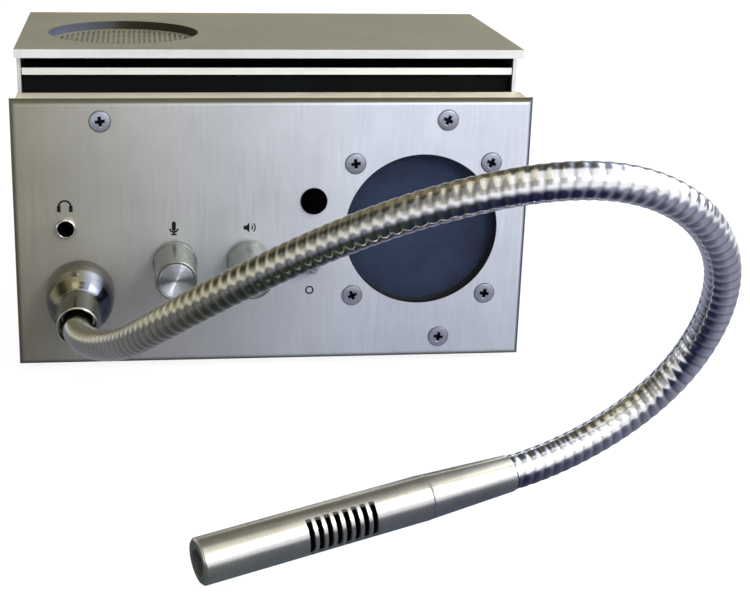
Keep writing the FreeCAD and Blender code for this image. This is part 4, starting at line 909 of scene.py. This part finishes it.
def loudspeaker_mark(made, x, z, tall):
    """A horn with two waves of sound."""
    bar(made, x - tall * 0.42, z, x - tall * 0.2, z, tall * 0.3)
    back, half = x - tall * 0.22, tall * 0.38
    horn = [(back, z - tall * 0.15), (x, z - half), (x, z + half), (back, z + tall * 0.15)]
    flat_shape(made, horn)
    for reach in (0.2, 0.4):
        arc(made, x + tall * 0.02, z, tall * reach, tall * 0.09, -48, 48, 12)


def on_mark(made, x, z, tall):
    """An upright stroke."""
    bar(made, x, z - tall / 2, x, z + tall / 2, tall * 0.2)


def off_mark(made, x, z, tall):
    """A ring."""
    arc(made, x, z, tall * 0.42, tall * 0.17, 0, 360, 40)


class INTERCOM_OT_marks(Operator):
    """Draws plain marks beside the jack, the knobs and the switch"""

    bl_idname = "intercom.marks"
    bl_label = "Marks"

    def execute(self, context):
        tall = context.scene.intercom_marks.mark_height
        for name, draw, x, z, size in (
            ("headset_mark", headphones_mark, -0.0805, 0.0664, tall),
            ("talk_mark", microphone_mark, -0.0392, 0.0572, tall),
            ("listen_mark", loudspeaker_mark, -0.0100, 0.0570, tall),
            ("on_mark", on_mark, 0.0135, 0.0517, tall * 0.55),
            ("off_mark", off_mark, 0.0139, 0.0311, tall * 0.62),
        ):
            piece = object_from(name, lambda made: draw(made, x, z, size))
            seat(piece, "box", "black_plastic", "mark_ink")
        return {"FINISHED"}


# ---- gooseneck
def clamped_spline(points, first, last):
    """Knots and slopes of a smooth curve with a given direction at each end."""
    points = np.array(points, float)
    knots = np.concatenate([[0], np.cumsum(np.linalg.norm(np.diff(points, axis=0), axis=1))])
    count = len(points)
    system = np.zeros((count, count))
    wanted = np.zeros((count, 3))
    system[0, 0] = system[-1, -1] = 1
    wanted[0], wanted[-1] = first, last
    for i in range(1, count - 1):
        before, after = knots[i] - knots[i - 1], knots[i + 1] - knots[i]
        system[i, i - 1 : i + 2] = 1 / before, 2 * (1 / before + 1 / after), 1 / after
        wanted[i] = 3 * (
            (points[i] - points[i - 1]) / before**2 + (points[i + 1] - points[i]) / after**2
        )
    return points, knots, np.linalg.solve(system, wanted)


def spline_at(spline, knot):
    """A point on the curve."""
    points, knots, slopes = spline
    i = min(max(int(np.searchsorted(knots, knot)) - 1, 0), len(points) - 2)
    width = knots[i + 1] - knots[i]
    t = (knot - knots[i]) / width
    return (
        (2 * t**3 - 3 * t**2 + 1) * points[i]
        + (t**3 - 2 * t**2 + t) * width * slopes[i]
        + (3 * t**2 - 2 * t**3) * points[i + 1]
        + (t**3 - t**2) * width * slopes[i + 1]
    )


class NeckLine:
    """The gooseneck's centre line with a frame that rolls along it without twist."""

    def __init__(self):
        spline = clamped_spline(ROUTE, (0, -1, 0), tuple(MIC_DIRECTION))
        end = spline[1][-1]
        line = [spline_at(spline, k) for k in np.linspace(0, end, int(end * POINTS_PER_METRE))]
        start = np.array(ROUTE[0])
        back = np.array([0, NECK_LEAD, 0])
        lead = [start + back * (1 - i / LEAD_POINTS) for i in range(LEAD_POINTS)]
        self.points = np.array(lead + line)
        steps = np.linalg.norm(np.diff(self.points, axis=0), axis=1)
        self.lengths = np.concatenate([[0], np.cumsum(steps)]) - NECK_LEAD
        self.total = self.lengths[-1]
        tangents = np.gradient(self.points, axis=0)
        self.tangents = tangents / np.linalg.norm(tangents, axis=1)[:, None]
        side = np.array([1.0, 0, 0])
        sides = []
        for tangent in self.tangents:
            side = side - tangent * side.dot(tangent)
            side = side / np.linalg.norm(side)
            sides.append(side)
        self.sides = np.array(sides)

    def at(self, length):
        """Centre, side and upward directions at one length from the socket's mouth."""
        i = int(np.clip(np.searchsorted(self.lengths, length), 1, len(self.lengths) - 1))
        span = self.lengths[i] - self.lengths[i - 1]
        t = min(max((length - self.lengths[i - 1]) / span, 0), 1)
        centre = self.points[i - 1] * (1 - t) + self.points[i] * t
        tangent = self.tangents[i - 1] * (1 - t) + self.tangents[i] * t
        side = self.sides[i - 1] * (1 - t) + self.sides[i] * t
        tangent /= np.linalg.norm(tangent)
        side -= tangent * side.dot(tangent)
        side /= np.linalg.norm(side)
        return centre, side, np.cross(tangent, side)

    def length_at(self, point):
        """The length along the line nearest to a point."""
        apart = np.linalg.norm(self.points - point, axis=1)
        return self.lengths[np.argmin(apart)]


def ridge_drop(offset):
    """How far below the ridge's top the surface is, from 0 to 1; offset is 0 on the
    ridge and 1 in the middle of the groove."""
    return 0.5 - 0.5 * math.cos(math.pi * offset)


def spiral_tube(name, line, start, end, neck):
    """A length of the gooseneck whose rows of points follow its spiral."""
    around, rows, pitch = neck.around, neck.rows, neck.pitch
    first = math.floor(start / pitch * rows)
    last = math.ceil(end / pitch * rows) + rows
    made = bmesh.new()
    depth = made.verts.layers.float.new("groove")
    points = []
    for row in range(first, last + 1):
        for column in range(around + 1):
            turn = column / around
            length = min(max((row / rows - turn) * pitch, start), end)
            offset = abs((length / pitch + turn) % 1 * 2 - 1)
            centre, side, up = line.at(length)
            grown = min(1.0, max(0.0, (length + RIDGE_LEAD) / neck.smooth_foot))
            drop = ridge_drop(offset) * (LEAST_RIDGE + (1 - LEAST_RIDGE) * grown**3)
            radius = neck.radius - neck.groove * drop
            angle = math.tau * turn
            out = side * math.cos(angle) + up * math.sin(angle)
            point = made.verts.new(centre + out * radius)
            point[depth] = drop
            points.append(point)
    width = around + 1
    for row in range(last - first):
        for column in range(around):
            a = row * width + column
            corners = (points[a], points[a + 1], points[a + 1 + width], points[a + width])
            made.faces.new(corners)
    bmesh.ops.remove_doubles(made, verts=made.verts, dist=2e-6)
    bmesh.ops.dissolve_degenerate(made, edges=made.edges, dist=2e-6)
    return smooth_object(name, made)


class INTERCOM_OT_gooseneck(Operator):
    """Winds the spiral gooseneck, bending it at each joint"""

    bl_idname = "intercom.gooseneck"
    bl_label = "Gooseneck"

    def execute(self, context):
        neck = context.scene.intercom_neck
        line = NeckLine()
        joints = [line.length_at(point) for point in ROUTE[1:-1]]
        middles = [(a + b) / 2 for a, b in zip(joints, joints[1:])]
        cuts = [NECK_START] + middles + [line.total]
        for index, (start, end) in enumerate(zip(cuts, cuts[1:])):
            piece = spiral_tube(f"neck_spiral_{index + 1}", line, start, end, neck)
            dress(piece, "neck_satin")
            before = line.at(joints[index] - BEND_REACH)[0]
            after = line.at(joints[index] + BEND_REACH)[0]
            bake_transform(piece)
            nodes = [f"gooseneck_{index + 1}"]
            if index == 0:
                nodes.append("gooseneck_root")
            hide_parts(*nodes)
        return {"FINISHED"}


class INTERCOM_OT_socket(Operator):
    """Turns the bell-shaped socket at the foot of the gooseneck"""

    bl_idname = "intercom.socket"
    bl_label = "Gooseneck socket"

    def execute(self, context):
        mouth = [(5.8, 27), (7.0, 27), (7.0, 40.9), (7.1, 41), (7.6, 41), (7.7, 40.5)]
        shoulder = [(8.3, 22.6), (8.7, 21.6), (10.3, 19.2), (11.7, 16.2), (12.6, 11.5)]
        foot = [(12.95, 6), (13, 0.4), (12.6, 0)]
        bell = turned("socket_bell", mouth + shoulder + foot, SOCKET, OUTWARD, 80, 0.0008)
        seat(bell, "box", "socket_metal", "socket_polished", "gooseneck_socket")
        return {"FINISHED"}


class INTERCOM_OT_microphone(Operator):
    """Finishes the microphone's tail, slotted barrel and capsule"""

    bl_idname = "intercom.microphone"
    bl_label = "Microphone"

    def execute(self, context):
        taper = [(0, 0.05), (5.3, 0.05), (5.75, 0.5), (6.9, 29.5), (6.75, 30.0)]
        spigot = [(6.0, 30.0), (6.0, 33)]
        tail_at = Vector(ROUTE[-1])
        tail = turned("mic_tail_turned", taper + spigot, tail_at, MIC_DIRECTION, soft=0.0003)
        seat(tail, "mic_head", "mic_metal", "mic_satin", "mic_tail")
        dress_nodes(
            mic_satin="mic_barrel",
            foam_black="mic_pad",
            lens_black="mic_screen",
            plastic_black="mic_capsule",
        )
        return {"FINISHED"}


class INTERCOM_OT_inside(Operator):
    """Finishes the circuit board, its parts and the rear terminals"""

    bl_idname = "intercom.inside"
    bl_label = "Inside and rear"

    def execute(self, context):
        dress_nodes(
            board_green="circuit_board",
            brass_plain="board_posts terminal_screws",
            can_sleeve="capacitors",
            zinc_plate="heat_sink",
            plastic_black="terminal_strip",
        )
        return {"FINISHED"}


# ---- stage
def shared_out(tree, factor, one, other):
    """A mix of two shaders, by a number or a kind of ray."""
    return add(tree, "ShaderNodeMixShader", {0: factor, 1: one, 2: other}).outputs[0]


def by_ray(tree, plain, mirrored, seen):
    """One shader for what it lights, one for what metal mirrors, and one for what the
    camera and clear glass see."""
    path = add(tree, "ShaderNodeLightPath").outputs
    clear = number(tree, "MAXIMUM", path["Is Transmission Ray"], path["Is Camera Ray"])
    around = shared_out(tree, path["Is Glossy Ray"], plain, mirrored)
    return shared_out(tree, clear, around, seen)


def shine(tree, kind, colour, strength=1.0):
    """A shader that gives off a colour."""
    return add(tree, kind, {"Color": colour, "Strength": strength}).outputs[0]


def floor_finish():
    """Pale floor: white where it is seen as the backdrop, with the object's shadow; in the metal
    it shows a painted shadow near the object and is pale farther out."""
    material, tree = new_finish("stage_pale")
    tree.nodes.remove(tree.nodes["Principled BSDF"])
    place = add(tree, "ShaderNodeNewGeometry").outputs["Position"]
    apart = measure(tree, "DISTANCE", place, (0.01, -0.28, 0))
    part = parts(tree, place)
    right = rise(tree, part["X"], -0.03, 0.06)
    # Painted shadow in the metal's view of the floor: dark near the object, greenish at the left
    # and navy at the right.
    dark = mixed(tree, right, (0.04, 0.055, 0.05), (0.015, 0.018, 0.05))
    near_shadow = mixed(tree, rise(tree, apart, 0.09, 0.18), dark, (0.28, 0.29, 0.36))
    ahead = rise(tree, part["Y"], -0.4, -0.65)
    far = number(tree, "MAXIMUM", rise(tree, apart, 0.4, 0.9), ahead)
    mirrored = shine(tree, "ShaderNodeEmission", mixed(tree, far, near_shadow, (1, 1, 1)))
    plain = add(tree, "ShaderNodeBsdfDiffuse", {"Color": (0.45, 0.45, 0.46, 1)}).outputs[0]
    white = shine(tree, "ShaderNodeEmission", (1, 1, 1, 1), 0.9)
    shaded = add(tree, "ShaderNodeBsdfDiffuse", {"Color": (0.16, 0.16, 0.16, 1)}).outputs[0]
    seen = add(tree, "ShaderNodeAddShader", {0: white, 1: shaded}).outputs[0]
    surface = by_ray(tree, plain, mirrored, seen)
    fill(tree, tree.nodes["Material Output"], {"Surface": surface})
    return material


def area_light(name, at, target, size, power, colour):
    """A rectangular light, size across by size along Y, aimed at a point."""
    lamp = bpy.data.lights.new(name, "AREA")
    lamp.shape = "RECTANGLE"
    lamp.size, lamp.size_y = size
    lamp.energy = power
    lamp.color = colour
    back = (Vector(at) - Vector(target)).normalized()
    across = Vector((0, 1, 0)).cross(back).normalized()
    turn = Matrix((across, back.cross(across), back)).transposed().to_4x4()
    place_object(name, lamp).matrix_world = Matrix.Translation(at) @ turn


def room_colour(tree, part):
    """What the metal mirrors: a dim warm back, a cool right, a cream left and a bright
    front, by the direction's X, Y and Z."""
    bands = add(tree, "ShaderNodeValToRGB", {"Fac": rise(tree, part["X"], -1.0, 1.0)})
    steps = bands.color_ramp.elements
    steps[0].color, steps[1].color = (0.05, 0.05, 0.03, 1), (0.03, 0.04, 0.08, 1)
    for at, colour in (
        (0.16, (0.05, 0.05, 0.03)),
        (0.24, (0.24, 0.21, 0.13)),
        (0.44, (0.20, 0.17, 0.11)),
        (0.48, (0.06, 0.055, 0.045)),
        (0.60, (0.09, 0.085, 0.075)),
        (0.67, (0.42, 0.46, 0.60)),
        (0.78, (0.36, 0.40, 0.54)),
        (0.86, (0.03, 0.04, 0.08)),
    ):
        steps.new(at).color = (*colour, 1)
    overhead = rise(tree, part["Z"], 0.25, 0.5)
    back = mixed(tree, overhead, (0.30, 0.28, 0.22), bands.outputs["Color"])
    right = rise(tree, part["X"], 0.35, 0.75)
    cool = mixed(tree, number(tree, "MULTIPLY", right, 0.6), back, (0.24, 0.26, 0.36))
    level = ramp(tree, part["Z"], 1.0, 0.0, 0.12, 0.35)
    left = number(tree, "MULTIPLY", rise(tree, part["X"], -0.45, -0.85), level)
    cream = mixed(tree, left, cool, (1.0, 0.97, 0.86))
    ahead = rise(tree, part["Y"], 0.12, -0.1)
    front = number(tree, "MULTIPLY", ahead, ramp(tree, part["X"], 0.2, 1.0, -0.3, 0.0))
    low = number(tree, "SUBTRACT", ramp(tree, part["Z"], 1.0, 0.0, 0.01, 0.08), right)
    return mixed(tree, number(tree, "MAXIMUM", front, low), cream, (1.0, 1.0, 1.0))


def world_light(strength):
    """White all round for the camera, even light for the object, and a room in the metal."""
    world = bpy.data.worlds.new("studio")
    bpy.context.scene.world = world
    world.use_nodes = True
    tree = world.node_tree
    tree.nodes.clear()
    direction = add(tree, "ShaderNodeTexCoord").outputs["Generated"]
    room = room_colour(tree, parts(tree, direction))
    mirrored = shine(tree, "ShaderNodeBackground", room)
    even = shine(tree, "ShaderNodeBackground", (0.97, 0.98, 1.0, 1), strength)
    white = shine(tree, "ShaderNodeBackground", (1, 1, 1, 1))
    add(tree, "ShaderNodeOutputWorld", {"Surface": by_ray(tree, even, mirrored, white)})


def camera_view():
    """A view of the front, a little from the left and from above."""
    lens = bpy.data.cameras.new("view")
    lens.lens = 72.18
    lens.shift_x = 0.0765
    lens.shift_y = -0.0118
    lens.clip_start = 0.01
    yaw, pitch, roll = (math.radians(a) for a in (7.038, 18.140, 1.236))
    level = math.cos(pitch)
    ahead = Vector((math.sin(yaw) * level, math.cos(yaw) * level, -math.sin(pitch)))
    right = Vector((math.cos(yaw), -math.sin(yaw), 0))
    up = right.cross(ahead)
    across = right * math.cos(roll) + up * math.sin(roll)
    upward = up * math.cos(roll) - right * math.sin(roll)
    place = Matrix((across, upward, -ahead)).transposed().to_4x4()
    place.translation = Vector((-0.05206, -0.61781, 0.21690))
    camera = place_object("view", lens)
    camera.matrix_world = place
    bpy.context.scene.camera = camera


def floor_face(made):
    """A square of floor, 4 metres to each side."""
    corners = [(-4, -4, 0), (4, -4, 0), (4, 4, 0), (-4, 4, 0)]
    made.faces.new([made.verts.new(corner) for corner in corners])


class INTERCOM_OT_stage(Operator):
    """Sets the pale floor, the studio light and the camera"""

    bl_idname = "intercom.stage"
    bl_label = "Stage"

    def execute(self, context):
        settings = context.scene.intercom_stage
        floor = object_from("floor", floor_face)
        floor.data.materials.append(floor_finish())
        world_light(settings.world_strength)
        for name, at, target, size, colour in (
            ("window", (0.96, -0.2, 0.8), (0, -0.1, 0.06), (1.1, 2.2), (0.93, 0.96, 1.0)),
            ("softbox", (0.35, -0.9, 0.5), (-0.03, -0.08, 0.05), (0.25, 0.25), (0.96, 0.98, 1.0)),
            ("ceiling", (-0.3, -0.5, 1.2), (-0.05, -0.15, 0.05), (0.5, 1.8), (1.0, 0.95, 0.75)),
        ):
            power = getattr(settings, name + "_power")
            area_light(name, at, target, size, power, colour)
        camera_view()
        context.scene.view_settings.view_transform = "Standard"
        return {"FINISHED"}


class INTERCOM_PT_pieces(Panel):
    """Lists the intercom's pieces and their settings"""

    bl_idname = "INTERCOM_PT_pieces"
    bl_label = "Window Intercom"
    bl_space_type = "VIEW_3D"
    bl_region_type = "UI"
    bl_category = "Intercom"

    def draw(self, context):
        layout = self.layout
        for group in GROUPS:
            box = layout.box()
            settings = getattr(context.scene, group)
            for name in settings.__annotations__:
                box.prop(settings, name)
        for operator in OPERATORS:
            layout.operator(operator.bl_idname)


GROUPS = {
    "intercom_metals": IntercomMetals,
    "intercom_neck": IntercomNeck,
    "intercom_marks": IntercomMarks,
    "intercom_stage": IntercomStage,
}
OPERATORS = (
    INTERCOM_OT_metalwork,
    INTERCOM_OT_fasteners,
    INTERCOM_OT_loudspeaker,
    INTERCOM_OT_knobs,
    INTERCOM_OT_switch_lamp_jack,
    INTERCOM_OT_marks,
    INTERCOM_OT_socket,
    INTERCOM_OT_gooseneck,
    INTERCOM_OT_microphone,
    INTERCOM_OT_inside,
    INTERCOM_OT_stage,
)
CLASSES = (*GROUPS.values(), *OPERATORS, INTERCOM_PT_pieces)


def register():
    """Adds the settings, operators and panel."""
    for made in CLASSES:
        bpy.utils.register_class(made)
    for name, group in GROUPS.items():
        setattr(bpy.types.Scene, name, PointerProperty(type=group))


def unregister():
    """Takes them away again."""
    for name in GROUPS:
        delattr(bpy.types.Scene, name)
    for made in reversed(CLASSES):
        bpy.utils.unregister_class(made)


def main():
    """Builds every piece in turn."""
    register()
    for operator in OPERATORS:
        area, name = operator.bl_idname.split(".")
        getattr(getattr(bpy.ops, area), name)()


if __name__ == "__main__":
    main()
